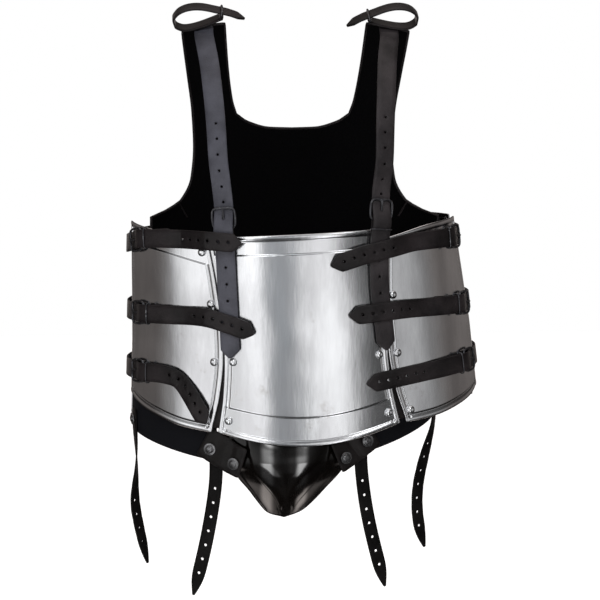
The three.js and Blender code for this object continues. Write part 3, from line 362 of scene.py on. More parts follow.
@dataclass(frozen=True)
class StrapLeather(Finish):
    """Black strap leather with pores, creases and a bloom that varies along it."""

    deep: Colour
    bloom: Colour
    roughness: float
    shine: float = 0.25

    def sockets(self, graph: Graph) -> dict[str, object]:
        """Sockets of the leather."""
        cells = graph.add("ShaderNodeTexVoronoi", {}, {"Vector": graph.place(), "Scale": 900})
        creases = graph.cloud(160, 6, rough=0.65)
        patches = graph.cloud(28, 4)
        dust = graph.cloud(700, 2)
        tone = patches.between(0.3, 0.75) * 0.7 + dust * 0.3
        rough = self.roughness + creases * 0.16 - patches * 0.1
        folds = graph.cloud(55, 5, rough=0.7)
        relief = creases * 1.2 + cells * 0.5 + dust * 0.2 + folds * 2.5
        return {
            "Base Color": graph.blend(tone, self.deep, self.bloom),
            "Roughness": rough,
            "Specular IOR Level": self.shine,
            "Normal": graph.bump(relief, 0.6, 0.0004),
        }


@dataclass(frozen=True)
class VestCloth(Finish):
    """Matt black cloth with a close weave."""

    name: str = "vest_cloth"
    deep: Colour = (0.0005, 0.0005, 0.0006)
    fluff: Colour = (0.0022, 0.0020, 0.0024)
    threads: float = 1400.0

    def sockets(self, graph: Graph) -> dict[str, object]:
        """Sockets of the cloth."""
        x, _, z = graph.axes(graph.place())
        weave = (x * self.threads).call("SINE") * (z * self.threads).call("SINE")
        fuzz = graph.cloud(420, 4)
        tone = graph.cloud(9, 3) * 0.6 + fuzz * 0.4
        return {
            "Base Color": graph.blend(tone, self.deep, self.fluff),
            "Roughness": 0.85 + fuzz * 0.1,
            "Specular IOR Level": 0.05,
            "Normal": graph.bump(weave * 0.5 + fuzz, 0.35, 0.0003),
        }


@dataclass(frozen=True)
class Webbing(Finish):
    """Woven belt: cross ribs along its length, read from the piece's own UV map in metres."""

    name: str = "black_webbing"
    deep: Colour = (0.0014, 0.0015, 0.0024)
    light: Colour = (0.0055, 0.006, 0.0085)
    rib: float = 2 * math.pi / 0.0016

    def sockets(self, graph: Graph) -> dict[str, object]:
        """Sockets of the webbing."""
        u, v, _ = graph.axes(graph.add("ShaderNodeTexCoord", output="UV"))
        slant = (v * self.rib * 1.7 + u * self.rib * 0.5).call("SINE")
        ribs = (u * self.rib).call("SINE") * 0.5 + slant * 0.5
        fuzz = graph.cloud(600, 3)
        tone = ribs.between(-0.8, 0.8) * 0.6 + fuzz * 0.4
        return {
            "Base Color": graph.blend(tone, self.deep, self.light),
            "Roughness": 0.62 + fuzz * 0.15,
            "Specular IOR Level": 0.15,
            "Normal": graph.bump(ribs + fuzz * 0.6, 0.5, 0.0003),
        }


@dataclass(frozen=True)
class GlossLeather(Finish):
    """The cup's black gloss, with painted highlights in two upright bands of strong coat, soft ripples and
    fine scratches.
    """

    name: str = "gloss_leather"
    deep: Colour = (0.0008, 0.0007, 0.0007)
    brown: Colour = (0.003, 0.0021, 0.0017)
    middle: float = -0.0225
    highlight_band_place: float = 0.019
    highlight_band_half: float = 0.0045
    plain_coat: float = 0.07

    def sockets(self, graph: Graph) -> dict[str, object]:
        """Sockets of the gloss."""
        ripple = graph.cloud(30, 2)
        scratch = graph.cloud(1, 4, graph.stretch(300, 300, 60)).between(0.62, 0.75)
        x, _, _ = graph.axes(graph.place())
        # Painted highlight: the coat is strong only in two upright bands where the highlights fall, and thin
        # elsewhere.
        away = ((x - self.middle).call("ABSOLUTE") - self.highlight_band_place).call("ABSOLUTE")
        band = away.between(self.highlight_band_half * 0.5, self.highlight_band_half * 2, 1, 0)
        return {
            "Base Color": graph.blend(ripple, self.deep, self.brown),
            "Roughness": 0.16 + ripple * 0.08 + scratch * 0.1,
            "Specular IOR Level": 0.2,
            "Coat Weight": band * (1 - self.plain_coat) + self.plain_coat - scratch * 0.05,
            "Coat Roughness": 0.1,
            "Coat IOR": 2.4,
            "Normal": graph.bump(ripple, 0.3, 0.001),
        }


@dataclass(frozen=True)
class PaleFloor(Finish):
    """Plain pale paint that gives a little light."""

    name: str = "floor"
    paint: Colour = (0.95, 0.95, 0.95)
    glow: float = 0.6

    def sockets(self, graph: Graph) -> dict[str, object]:
        """Sockets of the paint."""
        return {
            "Base Color": (*self.paint, 1), "Roughness": 0.9,
            "Emission Color": (1, 1, 1, 1), "Emission Strength": self.glow,
        }


# Shapes


class Table:
    """Columns of numbers, read smoothly between their rows."""

    def __init__(self, rows: Sequence[Sequence[float]]) -> None:
        """Takes rows whose first number rises."""
        self.rows = np.array(rows, float)

    def read(self, key: float, column: int = 1) -> float:
        """Reads a column.

        Args:
            key: A value of the first column.
            column: The column to read.

        Returns:
            The value between the rows, on a monotone cubic.
        """
        keys, values = self.rows[:, 0], self.rows[:, column]
        key = min(max(key, keys[0]), keys[-1])
        i = min(int(np.searchsorted(keys, key, "right")) - 1, len(keys) - 2)
        step = keys[i + 1] - keys[i]
        t = (key - keys[i]) / step
        slopes = [self._slope(keys, values, j) * step for j in (i, i + 1)]
        h = (2 * t**3 - 3 * t**2 + 1, t**3 - 2 * t**2 + t, -2 * t**3 + 3 * t**2, t**3 - t**2)
        return float(h[0] * values[i] + h[1] * slopes[0] + h[2] * values[i + 1] + h[3] * slopes[1])

    @staticmethod
    def _slope(keys: np.ndarray, values: np.ndarray, i: int) -> float:
        """The curve's slope at a row, flat where the values turn.

        Args:
            keys: The first column.
            values: The column that is read.
            i: The row.

        Returns:
            The slope.
        """
        if i in (0, len(keys) - 1):
            j = 0 if i == 0 else i - 1
            return (values[j + 1] - values[j]) / (keys[j + 1] - keys[j])
        before = (values[i] - values[i - 1]) / (keys[i] - keys[i - 1])
        after = (values[i + 1] - values[i]) / (keys[i + 1] - keys[i])
        return 0.0 if before * after <= 0 else 2 * before * after / (before + after)


def step(value: float, low: float, high: float) -> float:
    """Rises smoothly from 0 at low to 1 at high."""
    t = min(max((value - low) / (high - low), 0.0), 1.0)
    return t * t * (3 - 2 * t)


def rolled(point: Vector) -> Vector:
    """Turns a point of the level harness to the tilt that it is worn at."""
    return Matrix.Rotation(-BELT_ROLL, 3, "Y") @ point


@dataclass(frozen=True)
class Torso:
    """The oval that the plates lie on, in the level harness."""

    half_width: float = 0.190
    half_depth: float = 0.121
    width_flare: float = 0.08
    depth_flare: float = 0.05
    lean: float = 0.004
    lean_height: float = 0.113

    def steps(self) -> np.ndarray:
        """The oval's length in each degree of turn, from the front middle to the rear one."""
        middles = np.radians(np.arange(180) + 0.5)
        lengths = np.hypot(self.half_width * np.cos(middles), self.half_depth * np.sin(middles))
        return lengths * math.radians(1)

    def angle(self, arc: float) -> float:
        """The turn round the oval at a distance along it from the front middle."""
        lengths = np.concatenate([[0.0], np.cumsum(self.steps())])
        return math.copysign(float(np.interp(abs(arc), lengths, np.radians(np.arange(181)))), arc)

    def girth(self) -> float:
        """The oval's whole length."""
        return 2 * float(self.steps().sum())

    def at(self, turn: float, height: float, lift: float) -> Vector:
        """A point lifted off the oval, tilted as worn.

        Args:
            turn: Angle from the front middle.
            height: Height over the waist.
            lift: Distance outwards.

        Returns:
            The point.
        """
        width = self.half_width - self.width_flare * height + lift
        depth = self.half_depth - self.depth_flare * height + lift
        lean = self.lean * max(0.0, height) / self.lean_height
        return rolled(Vector((width * math.sin(turn) - lean, -depth * math.cos(turn), height)))

    def out(self, turn: float) -> Vector:
        """The outward direction, tilted as worn.

        Args:
            turn: Angle from the front middle.

        Returns:
            A unit vector.
        """
        x, y = math.sin(turn) / self.half_width, math.cos(turn) / self.half_depth
        slope = math.sin(turn) * x * self.width_flare + math.cos(turn) * y * self.depth_flare
        return rolled(Vector((x, -y, slope)).normalized())


TORSO = Torso()


def mesh_of(name: str, bm: BMesh) -> bpy.types.Mesh:
    """A mesh made of an edit mesh, which is freed.

    Args:
        name: The mesh's name.
        bm: The edit mesh.

    Returns:
        The mesh.
    """
    mesh = bpy.data.meshes.new(name)
    bm.to_mesh(mesh)
    bm.free()
    return mesh


def placed(name: str, data: bpy.types.ID) -> Object:
    """A new object in the scene.

    Args:
        name: The object's name.
        data: Its mesh, lamp or camera.

    Returns:
        The object.
    """
    item = bpy.data.objects.new(name, data)
    bpy.context.scene.collection.objects.link(item)
    return item


def new_piece(name: str, bm: BMesh, finish: Material, slot: str, nodes: Sequence[str] = ()) -> Object:
    """Makes an object of a mesh and ties it to the frame.

    Args:
        name: The piece's name.
        bm: Its mesh, freed here.
        finish: Its material.
        slot: Not used.
        nodes: The CAD nodes that it stands for.

    Returns:
        The object.
    """
    mesh = mesh_of(name, bm)
    piece = placed(name, mesh)
    mesh.materials.append(finish)
    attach(piece, BODY)
    if nodes:
        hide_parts(*nodes)
    log.info("%s: %d faces", name, len(mesh.polygons))
    return piece


def smooth(bm: BMesh, limit: float = math.radians(38)) -> None:
    """Shades faces smoothly, apart from edges sharper than limit.

    Args:
        bm: The mesh.
        limit: The largest angle that is shaded smoothly.
    """
    for face in bm.faces:
        face.smooth = True
    for edge in bm.edges:
        edge.smooth = len(edge.link_faces) != 2 or edge.calc_face_angle(0) < limit


def flipped(bm: BMesh, inwards: bool) -> None:
    """Turns all faces round where they face inwards."""
    if inwards:
        bmesh.ops.reverse_faces(bm, faces=bm.faces)


def grid_sheet(columns: int, rows: int, place: Callable[[int, int], Vector]) -> BMesh:
    """A sheet of quads from one grid, each corner moved to its place.

    Args:
        columns: Corners across.
        rows: Corners up.
        place: Gives a corner's place from its column and row.

    Returns:
        The mesh, facing away from the torso.
    """
    bm = bmesh.new()
    bmesh.ops.create_grid(bm, x_segments=columns - 1, y_segments=rows - 1, size=1)
    uv = bm.loops.layers.uv.new("UVMap")
    spots = {}
    for vert in bm.verts:
        column = round((vert.co.x + 1) / 2 * (columns - 1))
        row = round((vert.co.y + 1) / 2 * (rows - 1))
        spots[vert] = (column, row)
    for vert, (column, row) in spots.items():
        vert.co = place(column, row)
    for face in bm.faces:
        for loop in face.loops:
            loop[uv].uv = Vector(spots[loop.vert])
    bm.normal_update()
    middle = max(bm.faces, key=lambda face: face.calc_area())
    centre = sum((vert.co for vert in bm.verts), Vector()) / len(bm.verts)
    outwards = Vector((centre.x, centre.y, 0))
    if outwards.length <= NEAR_AXIS:
        outwards = Vector((0, -1, 0))
    flipped(bm, middle.normal.dot(outwards) < 0)
    smooth(bm)
    return bm


def turned(profile: Pairs, point: Vector, out: Vector, steps: int = 20) -> BMesh:
    """Spins a profile of radius and height about an outward axis.

    Args:
        profile: Points from the bottom to the top, both on the axis.
        point: Where height 0 is.
        out: The axis.
        steps: Faces round it.

    Returns:
        The closed mesh.
    """
    bm = bmesh.new()
    verts = [bm.verts.new((radius, 0, height)) for radius, height in profile]
    edges = [bm.edges.new(pair) for pair in zip(verts, verts[1:])]
    bmesh.ops.spin(
        bm, geom=[*verts, *edges], cent=(0, 0, 0), axis=(0, 0, 1), angle=2 * math.pi, steps=steps,
        use_merge=True,
    )
    bmesh.ops.remove_doubles(bm, verts=bm.verts, dist=1e-6)
    bmesh.ops.recalc_face_normals(bm, faces=bm.faces)
    matrix = Matrix.Translation(point) @ out.to_track_quat("Z", "Y").to_matrix().to_4x4()
    bmesh.ops.transform(bm, matrix=matrix, verts=bm.verts)
    smooth(bm, SHARP)
    return bm


def joined(parts: Sequence[BMesh]) -> BMesh:
    """Puts several meshes in one, and frees them.

    Args:
        parts: The meshes.

    Returns:
        The whole.
    """
    whole = bmesh.new()
    for part in parts:
        mesh = mesh_of("part", part)
        whole.from_mesh(mesh)
        bpy.data.meshes.remove(mesh)
    return whole


def thicken(piece: Object, thickness: float, edge: float = 0.0) -> None:
    """Gives a sheet its thickness inwards, and rounds its edges.

    Args:
        piece: The sheet.
        thickness: Wall thickness.
        edge: Radius of the edges, or 0.
    """
    solid = piece.modifiers.new("thickness", "SOLIDIFY")
    solid.thickness, solid.offset = thickness, -1
    if edge > 0:
        bevel = piece.modifiers.new("edge", "BEVEL")
        bevel.width, bevel.segments, bevel.limit_method = edge, 2, "ANGLE"
        bevel.angle_limit = SHARP


def dome_profile(radius: float, height: float, base: float) -> list[tuple[float, float]]:
    """A rivet head from its base up to its crown.

    Args:
        radius: Radius at the base.
        height: Height of the crown.
        base: Height of the base.

    Returns:
        Pairs of radius and height.
    """
    turns = [math.radians(angle) for angle in range(0, 90, 15)]
    crown = [(radius * math.cos(turn) ** 0.8, height * math.sin(turn)) for turn in turns]
    return [(0.0, base), (radius, base), *crown, (0.0, height)]


# Steel plates


@dataclass(frozen=True)
class SeamRivet:
    """A rivet's height as a share of the seam's, and how far it and its inner pair lie from it."""

    up: float
    outer_inset: float
    inner_inset: float = 0.0


@dataclass(frozen=True)
class SteelPlates:
    """The front plate, two side plates and back plate, with their rivets.

    The seam's rows are height, reach and gap, and the side edges' rows are the share of the way
    round and of the rise, all as shares of the named sizes.
    """

    thickness: float = 0.0015
    front_top: float = 0.113
    front_drop: float = 0.115
    seam_top: float = 0.103
    seam_drop: float = 0.098
    seam_reach: float = 0.092
    seam_gap: float = 0.008
    side_reach: float = 0.222
    side_rise: float = 0.018
    side_tuck: float = 0.030
    side_lift: float = 0.006
    rim: float = 0.0045
    press_depth: float = 0.0009
    press_width: float = 0.0022
    top_band: float = 0.020
    bottom_band: float = 0.030
    back_reach: float = 0.273
    back_top: float = 0.112
    back_drop: float = 0.096
    rivet_radius: float = 0.0045
    rivet_height: float = 0.0024
    dent: float = 0.0004
    dent_waves: float = 17.0
    fine_waves: float = 37.0
    bead: float = 0.00035
    pitches: tuple[float, float] = (0.005, 0.006)
    back_pitches: tuple[float, float] = (0.007, 0.008)
    seam: Table = Table([
        (-1.2, 1.1, 1), (-1, 1.08, 0.95), (-0.6, 1.0, 0.5), (-0.2, 0.965, 0.2),
        (0.2, 0.975, 0.12), (0.6, 1.02, 0.12), (1, 1.09, 0.12), (1.2, 1.12, 0.12),
    ])
    side_top: Table = Table([(0, 0), (0.5, 0.7), (1, 1)])
    side_bottom: Table = Table([
        (0, 0), (0.3, 0.14), (0.6, 0.42), (0.85, 0.72), (1, 1),
    ])
    seam_rivets: tuple[SeamRivet, ...] = (
        SeamRivet(0.94, 0.0095), SeamRivet(0.4, 0.0095), SeamRivet(-0.22, 0.010, 0.0095),
        SeamRivet(-0.87, 0.009, 0.0095),
    )

    def seam_at(self, height: float) -> tuple[float, float]:
        """Arcs of the front plate's and side plate's edges at a height.

        Args:
            height: Height over the waist.

        Returns:
            The front plate's arc and the side's.
        """
        up = height / (self.seam_top if height > 0 else self.seam_drop)
        reach = self.seam.read(up, 1) * self.seam_reach
        gap = self.seam.read(up, 2) * self.seam_gap
        return reach - gap / 2, reach + gap / 2

    def pressed(self, distance: float, band: float) -> float:
        """How far the sheet is sunk at a distance from an edge.

        Args:
            distance: Distance from the edge.
            band: The sunk band's end, or 0.

        Returns:
            The change of height.
        """
        end = band if band > 0 else self.rim + self.press_width
        into = step(distance, self.rim, self.rim + self.press_width)
        back = step(distance, end, end + self.press_width)
        bead = self.bead * math.sin(math.pi * distance / self.rim) if 0 < distance < self.rim else 0.0
        return bead - self.press_depth * (into - back)

    def relief(self, edges: Pairs) -> float:
        """The sheet's height by its distances from all edges.

        Args:
            edges: Pairs of distance and band width.

        Returns:
            The lowest sunk height, or the rim's bead.
        """
        heights = [self.pressed(distance, band) for distance, band in edges]
        return max(heights) if min(distance for distance, _ in edges) < self.rim else min(heights)

    def lines(self, length: float, low: float, high: float, pitch: float) -> list[float]:
        """Distances of the mesh lines across a plate, close at the pressed lines.

        Args:
            length: The plate's length.
            low: Band width at its start, or 0.
            high: Band width at its end, or 0.
            pitch: Usual distance between lines.

        Returns:
            The distances, rising.
        """
        fine = self.press_width / 4

        def edge(band: float) -> list[float]:
            """Lines near one edge."""
            start = [self.rim * share for share in (0.0, 0.2, 0.4, 0.6, 0.8)]
            into = [self.rim + fine * i for i in range(5)]
            flat = self.rim + self.press_width
            if band > 0:
                rest = [flat + fine, (flat + band) / 2, band - fine]
                return [*start, *into, *rest, *[band + fine * i for i in (0, 1, 2, 3, 4, 5, 8)]]
            return [*start, *into, *[flat + fine * i for i in (1, 2, 3, 4, 5, 8)]]

        near, far = edge(low), [length - line for line in reversed(edge(high))]
        count = max(2, round((far[0] - near[-1]) / pitch))
        middle = [near[-1] + (far[0] - near[-1]) * i / count for i in range(1, count)]
        return [*near, *middle, *far]

    def dented(self, point: Vector, out: Vector) -> Vector:
        """Moves a point by the faint waves of hand-worked sheet.

        Args:
            point: A point of the smooth sheet.
            out: The outward direction.

        Returns:
            The moved point.
        """
        fine = noise.noise(point * self.fine_waves + Vector((7, 3, 1)))
        wave = noise.noise(point * self.dent_waves) + 0.5 * fine
        return point + out * (wave * self.dent)

    def surface(self, arc: float, height: float, lift: float) -> Vector:
        """A point of a sheet's outer face."""
        turn = TORSO.angle(arc)
        return self.dented(TORSO.at(turn, height, lift), TORSO.out(turn))

    def panel(
        self,
        size: tuple[float, float],
        bands: tuple[float, float],
        pitches: tuple[float, float],
        spot: Callable[[float, float], tuple[float, float]],
    ) -> BMesh:
        """A plate's outer face.

        Args:
            size: Its length across and up.
            bands: Widths of its bottom and top bands, or 0.
            pitches: Usual distances between columns and between rows.
            spot: Gives the arc and height at shares of the way across and up.

        Returns:
            The mesh.
        """
        columns = self.lines(size[0], 0, 0, pitches[0])
        rows = self.lines(size[1], *bands, pitches[1])

        def place(column: int, row: int) -> Vector:
            """One corner."""
            across, up = columns[column], rows[row]
            sunk = self.relief((
                (up, bands[0]), (size[1] - up, bands[1]), (across, 0), (size[0] - across, 0),
            ))
            return self.surface(*spot(across / size[0], up / size[1]), sunk + self.thickness)

        return grid_sheet(len(columns), len(rows), place)

    def front(self) -> BMesh:
        """The middle plate."""

        def spot(across: float, up: float) -> tuple[float, float]:
            """Where one corner lies."""
            share = 2 * across - 1
            bow = (self.front_drop - self.seam_drop) * math.cos(share * math.pi / 2)
            bottom = -self.seam_drop - bow
            height = bottom + up * (self.front_top - bottom)
            return share * self.seam_at(height)[0], height

        size = (2 * self.seam_reach, self.front_top + self.front_drop)
        return self.panel(size, (self.bottom_band, self.top_band), self.pitches, spot)

    def side(self, side: Side) -> BMesh:
        """A side plate.

        Args:
            side: Which side.

        Returns:
            Its outer face.
        """
        lift = self.side_lift * -side.sign

        def spot(across: float, up: float) -> tuple[float, float]:
            """Where one corner lies."""
            top = self.seam_top + self.side_rise * self.side_top.read(across) + lift * across
            bottom = -self.seam_drop + self.side_tuck * self.side_bottom.read(across) + lift * across
            height = bottom + up * (top - bottom)
            front = self.seam_at(height)[1]
            return side.sign * (front + across * (self.side_reach - front)), height

        size = (self.side_reach - self.seam_reach, self.seam_top + self.seam_drop)
        return self.panel(size, (0, self.top_band), self.pitches, spot)

    def back(self) -> BMesh:
        """The back plate, finished like the front."""
        girth = TORSO.girth()
        size = (girth - 2 * self.back_reach, self.back_top + self.back_drop)

        def spot(across: float, up: float) -> tuple[float, float]:
            """Where one corner lies."""
            arc = self.back_reach + across * size[0]
            return arc if arc < girth / 2 else arc - girth, up * size[1] - self.back_drop

        return self.panel(size, (0, 0), self.back_pitches, spot)

    def rivet(self, arc: float, height: float) -> BMesh:
        """A domed rivet on a plate.

        Args:
            arc: Distance round the oval.
            height: Height over the waist.

        Returns:
            Its mesh.
        """
        turn = TORSO.angle(arc)
        base = TORSO.at(turn, height, self.thickness)
        profile = dome_profile(self.rivet_radius, self.rivet_height, -self.thickness)
        return turned(profile, base, TORSO.out(turn))

    def rivets(self, side: Side) -> tuple[list[BMesh], list[BMesh]]:
        """Seam rivets of the side plate and of the front plate on one side.

        Args:
            side: Which side.

        Returns:
            The side plate's and the front plate's meshes.
        """
        outer, inner = [], []
        for row in self.seam_rivets:
            height = row.up * (self.seam_top if row.up > 0 else self.seam_drop)
            near, far = self.seam_at(height)
            outer.append(self.rivet(side.sign * (far + row.outer_inset), height))
            if row.inner_inset:
                inner.append(self.rivet(side.sign * (near - row.inner_inset), height))
        return outer, inner

    def plate(self, name: str, bm: BMesh, steel: Material, node: str) -> None:
        """Makes one plate of its outer face."""
        thicken(new_piece(name, bm, steel, "polished_steel", [node]), self.thickness)

    def build(self, steel: Material) -> None:
        """Makes the four plates and their rivets.

        Args:
            steel: Their finish.
        """
        heads = []
        for side in Side:
            outer, inner = self.rivets(side)
            heads += inner
            self.plate(f"side_plate_steel_{side.word}", self.side(side), steel, f"side_plate_{side.word}")
            new_piece(f"side_plate_rivets_{side.word}", joined(outer), steel, "polished_steel")
        self.plate("front_plate_steel", self.front(), steel, "front_plate")
        new_piece("front_plate_rivets", joined(heads), steel, "polished_steel")
        self.plate("back_plate_steel", self.back(), steel, "back_plate")


# Soft and small parts that follow their CAD solids


@dataclass(frozen=True)
class Refined:
    """Turns copies of CAD solids into finished pieces.

    The hip rivets' tail, washer and head are pairs of radius and height, the last two below the crown.
    """

    nodes: dict[str, Object]
    edge_crease: float = 0.88
    wire_growth: float = 0.00016
    merge: float = 2e-6
    flat: float = math.radians(4)
    wide: float = math.radians(170)
    creased: float = math.radians(40)
    tail: tuple[float, float] = (0.0040, 0.0008)
    shank: float = 0.0018
    faces_round: int = 24
    washer: Pairs = (
        (0.0066, -0.0026), (0.0069, -0.0023), (0.0066, -0.0017), (0.0045, -0.0015),
    )
    head: Pairs = (
        (0.0043, -0.0014), (0.0040, -0.0008), (0.0031, -0.0003), (0.0017, -0.00005), (0, 0),
    )

    def copy(self, node: str) -> BMesh:
        """A merged copy of a node's mesh.

        Args:
            node: The CAD node.

        Returns:
            The copy.
        """
        bm = bmesh.new()
        bm.from_mesh(self.nodes[node].data)
        bmesh.ops.remove_doubles(bm, verts=bm.verts, dist=self.merge)
        return bm

    @staticmethod
    def rounded(piece: Object) -> None:
        """Rounds a piece by subdivision."""
        rounder = piece.modifiers.new("round", "SUBSURF")
        rounder.levels = rounder.render_levels = 2

    def leather(self, node: str, finish: Material, slot: str) -> None:
        """A strap whose bends and holes are rounded.

        Args:
            node: The CAD node.
            finish: Its material.
            slot: Its slot.
        """
        bm = self.copy(node)
        bmesh.ops.join_triangles(
            bm, faces=bm.faces, angle_face_threshold=self.flat, angle_shape_threshold=self.wide,
        )
        crease = bm.edges.layers.float.new("crease_edge")
        for edge in bm.edges:
            if len(edge.link_faces) == 2 and edge.calc_face_angle(0) > self.creased:
                edge[crease] = self.edge_crease
        smooth(bm, math.pi)
        self.rounded(new_piece(f"{node}_leather", bm, finish, slot, [node]))

    def wire(self, node: str, finish: Material) -> None:
        """A buckle or keeper of round wire.

        Args:
            node: The CAD node.
            finish: Its material.
        """
        bm = self.copy(node)
        bm.normal_update()
        moves = {vert: vert.normal * self.wire_growth for vert in bm.verts}
        for vert, move in moves.items():
            vert.co += move
        smooth(bm, math.pi)
        self.rounded(new_piece(f"{node}_wire", bm, finish, "dark_steel", [node]))

    def rivet(self, node: str, finish: Material) -> None:
        """A hip rivet on its washer, along its CAD solid's own axis.

        Args:
            node: The CAD node.
            finish: Its material.
        """
        mesh = self.nodes[node].data
        points = np.array([tuple(vert.co) for vert in mesh.vertices])
        centre = points.mean(0)
        spread = sum(face.area * np.outer(face.normal, face.normal) for face in mesh.polygons)
        out = Vector(np.linalg.eigh(spread)[1][:, 2])
        if out.dot(Vector((centre[0], centre[1] - 0.02, 0))) < 0:
            out.negate()
        along = (points - centre) @ np.array(out)
        top = Vector(centre) + out * float(along.max())
        bottom = float(along.min() - along.max())
        radius, height = self.tail
        profile = [
            (0, bottom), (radius - 0.0002, bottom), (radius, bottom + height),
            (self.shank, bottom + height + 0.0002), (self.shank, self.washer[0][1]), *self.washer, *self.head,
        ]
        new_piece(f"{node}_head", turned(profile, top, out, self.faces_round), finish, "dark_steel", [node])


@dataclass(frozen=True)
class Vest:
    """The sleeveless black back: one sheet of cloth with bound edges.

    The section's rows are height, width, depth and shift. The arm's and neck's rows are height and
    width, and the low neck's are width and height, all as shares of the named sizes.
    """

    half_width: float = 0.163
    shoulder: float = 0.334
    drop: float = 0.100
    section_width: float = 0.170
    section_depth: float = 0.112
    hip_shift: float = -0.0225
    shift: float = -0.004
    thickness: float = 0.0025
    binding: float = 0.0016
    seam: float = 0.0014
    neck_side: float = 0.4
    section_end: float = math.sin(math.radians(83))
    fold: float = 0.0006
    fold_waves: tuple[float, float] = (22.0, 9.0)
    shoulder_slope: float = 0.027
    wrap: float = 1.35
    hem: float = 0.02
    side_columns: int = 24
    middle_columns: int = 40
    body_rows: int = 70
    upper_rows: int = 46
    dart_ends: Pairs = ((0.80, 0.385), (0.745, 0.335))
    dart_steps: int = 8
    dart_sides: int = 6
    section: Table = Table([
        (-1, 0.959, 0.927, 0.8), (-0.6, 0.962, 0.937, 0.7), (0, 1, 1, 0), (0.35, 1, 1, 0), (0.5, 1, 0.98, 0),
        (0.62, 1, 0.9, 0), (0.72, 1, 0.76, 0), (0.82, 1, 0.56, 0), (0.91, 1, 0.34, 0), (1.03, 1, 0.06, 0),
    ])
    arm: Table = Table([
        (0.352, 1), (0.357, 0.945), (0.367, 0.885), (0.395, 0.79), (0.47, 0.715), (0.58, 0.695), (0.7, 0.705),
        (0.84, 0.735), (0.973, 0.765), (1, 0.77),
    ])
    neck: Table = Table([
        (0.688, 0.4), (0.737, 0.43), (0.845, 0.46), (1, 0.485),
    ])
    neck_low: Table = Table([
        (0, 0.634), (0.16, 0.637), (0.32, 0.66), (0.4, 0.688),
    ])

    def on_section(self, x: float, z: float) -> Vector:
        """The outer face's point at a place seen from the front.

        Args:
            x: Place across.
            z: Height.

        Returns:
            The point on the wearer's back.
        """
        up = z / (self.shoulder if z > 0 else self.drop)
        width = self.section.read(up, 1) * self.section_width
        depth = self.section.read(up, 2) * self.section_depth
        shift = self.shift + self.section.read(up, 3) * (self.hip_shift - self.shift)
        share = min(max((x + self.shift - shift) / width, -self.section_end), self.section_end)
        fold = self.fold * noise.noise(Vector((x * self.fold_waves[0], 3, z * self.fold_waves[1])))
        return Vector((share * width + shift, depth * math.cos(math.asin(share)) + fold, z))

    def middle_point(self, column: int, row: int) -> Vector:
        """A corner of the sheet below the neck, or of the part that is taken out there.

        Args:
            column: The sheet's column.
            row: The sheet's row.

        Returns:
            The corner.
        """
        share = (2 * (column - self.side_columns) / self.middle_columns - 1) * self.neck_side
        if row > self.body_rows:
            z = self.upper_height(row)
            return self.on_section(math.copysign(self.neck_x(z), share), z)
        top = self.neck_low.read(abs(share)) * self.shoulder
        return self.on_section(share * self.half_width, row / self.body_rows * (top + self.drop) - self.drop)

    def side_point(self, column: int, row: int) -> Vector:
        """A corner of the sheet beside the neck.

        Args:
            column: The sheet's column.
            row: The sheet's row.

        Returns:
            The corner.
        """
        past = column - self.side_columns - self.middle_columns
        sign = -1 if column < self.side_columns else 1
        away = (past if sign > 0 else self.side_columns - column) / self.side_columns
        if row <= self.body_rows:
            z = row / self.body_rows * (self.split + self.drop) - self.drop
            inner = self.neck_side * self.half_width
            is_low = z < self.arm.rows[0, 0] * self.shoulder
            outer = self.half_width if is_low else self.arm.read(z / self.shoulder) * self.half_width
        else:
            z = self.upper_height(row)
            inner = self.neck_x(z)
            outer = self.arm.read(z / self.shoulder) * self.half_width
            slope = self.shoulder_slope * self.shoulder * (row - self.body_rows) / self.upper_rows
            z -= slope * away**1.5
        return self.on_section(sign * (inner + away * (outer - inner)), z)

    @property
    def split(self) -> float:
        """The height where the shoulder pieces part."""
        return float(self.neck.rows[0, 0]) * self.shoulder

    def upper_height(self, row: int) -> float:
        """The height of a row of the shoulder pieces."""
        return self.split + (row - self.body_rows) / self.upper_rows * (self.shoulder - self.split)

    def sheet(self) -> BMesh:
        """The cloth's outer face, in one grid whose neck is taken out."""
        first, last = self.side_columns, self.side_columns + self.middle_columns

        def place(column: int, row: int) -> Vector:
            """One corner."""
            spot = self.middle_point if first <= column <= last else self.side_point
            return spot(column, row)

        bm = grid_sheet(last + self.side_columns + 1, self.body_rows + self.upper_rows + 1, place)
        uv = bm.loops.layers.uv.active
        gone = []
        for face in bm.faces:
            spots = [loop[uv].uv for loop in face.loops]
            column, row = (sum(spot[axis] for spot in spots) / len(spots) for axis in (0, 1))
            if first < column < last and row > self.body_rows:
                gone.append(face)
        bmesh.ops.delete(bm, geom=gone, context="FACES")
        return bm

    def neck_x(self, z: float) -> float:
        """Half the neck opening's width at a height."""
        return self.neck.read(z / self.shoulder) * self.half_width

    def build(self, cloth: Material, trim: Material) -> None:
        """Makes the vest and its binding.

        Args:
            cloth: The sheet's material.
            trim: The binding's material.
        """
        bm = self.sheet()
        flipped(bm, sum(face.normal.y < 0 for face in bm.faces) > len(bm.faces) / 2)
        area = sum(face.calc_area() for face in bm.faces)
        border = [edge for edge in bm.edges if len(edge.link_faces) == 1]
        tape = joined([self.bound(border), *[self.dart(side) for side in Side]])
        piece = new_piece("vest_cloth", bm, cloth, "black_cloth", ["vest"])
        thicken(piece, self.thickness, SOFT_EDGE)
        bound = new_piece("vest_binding", tape, trim, "black_cloth")

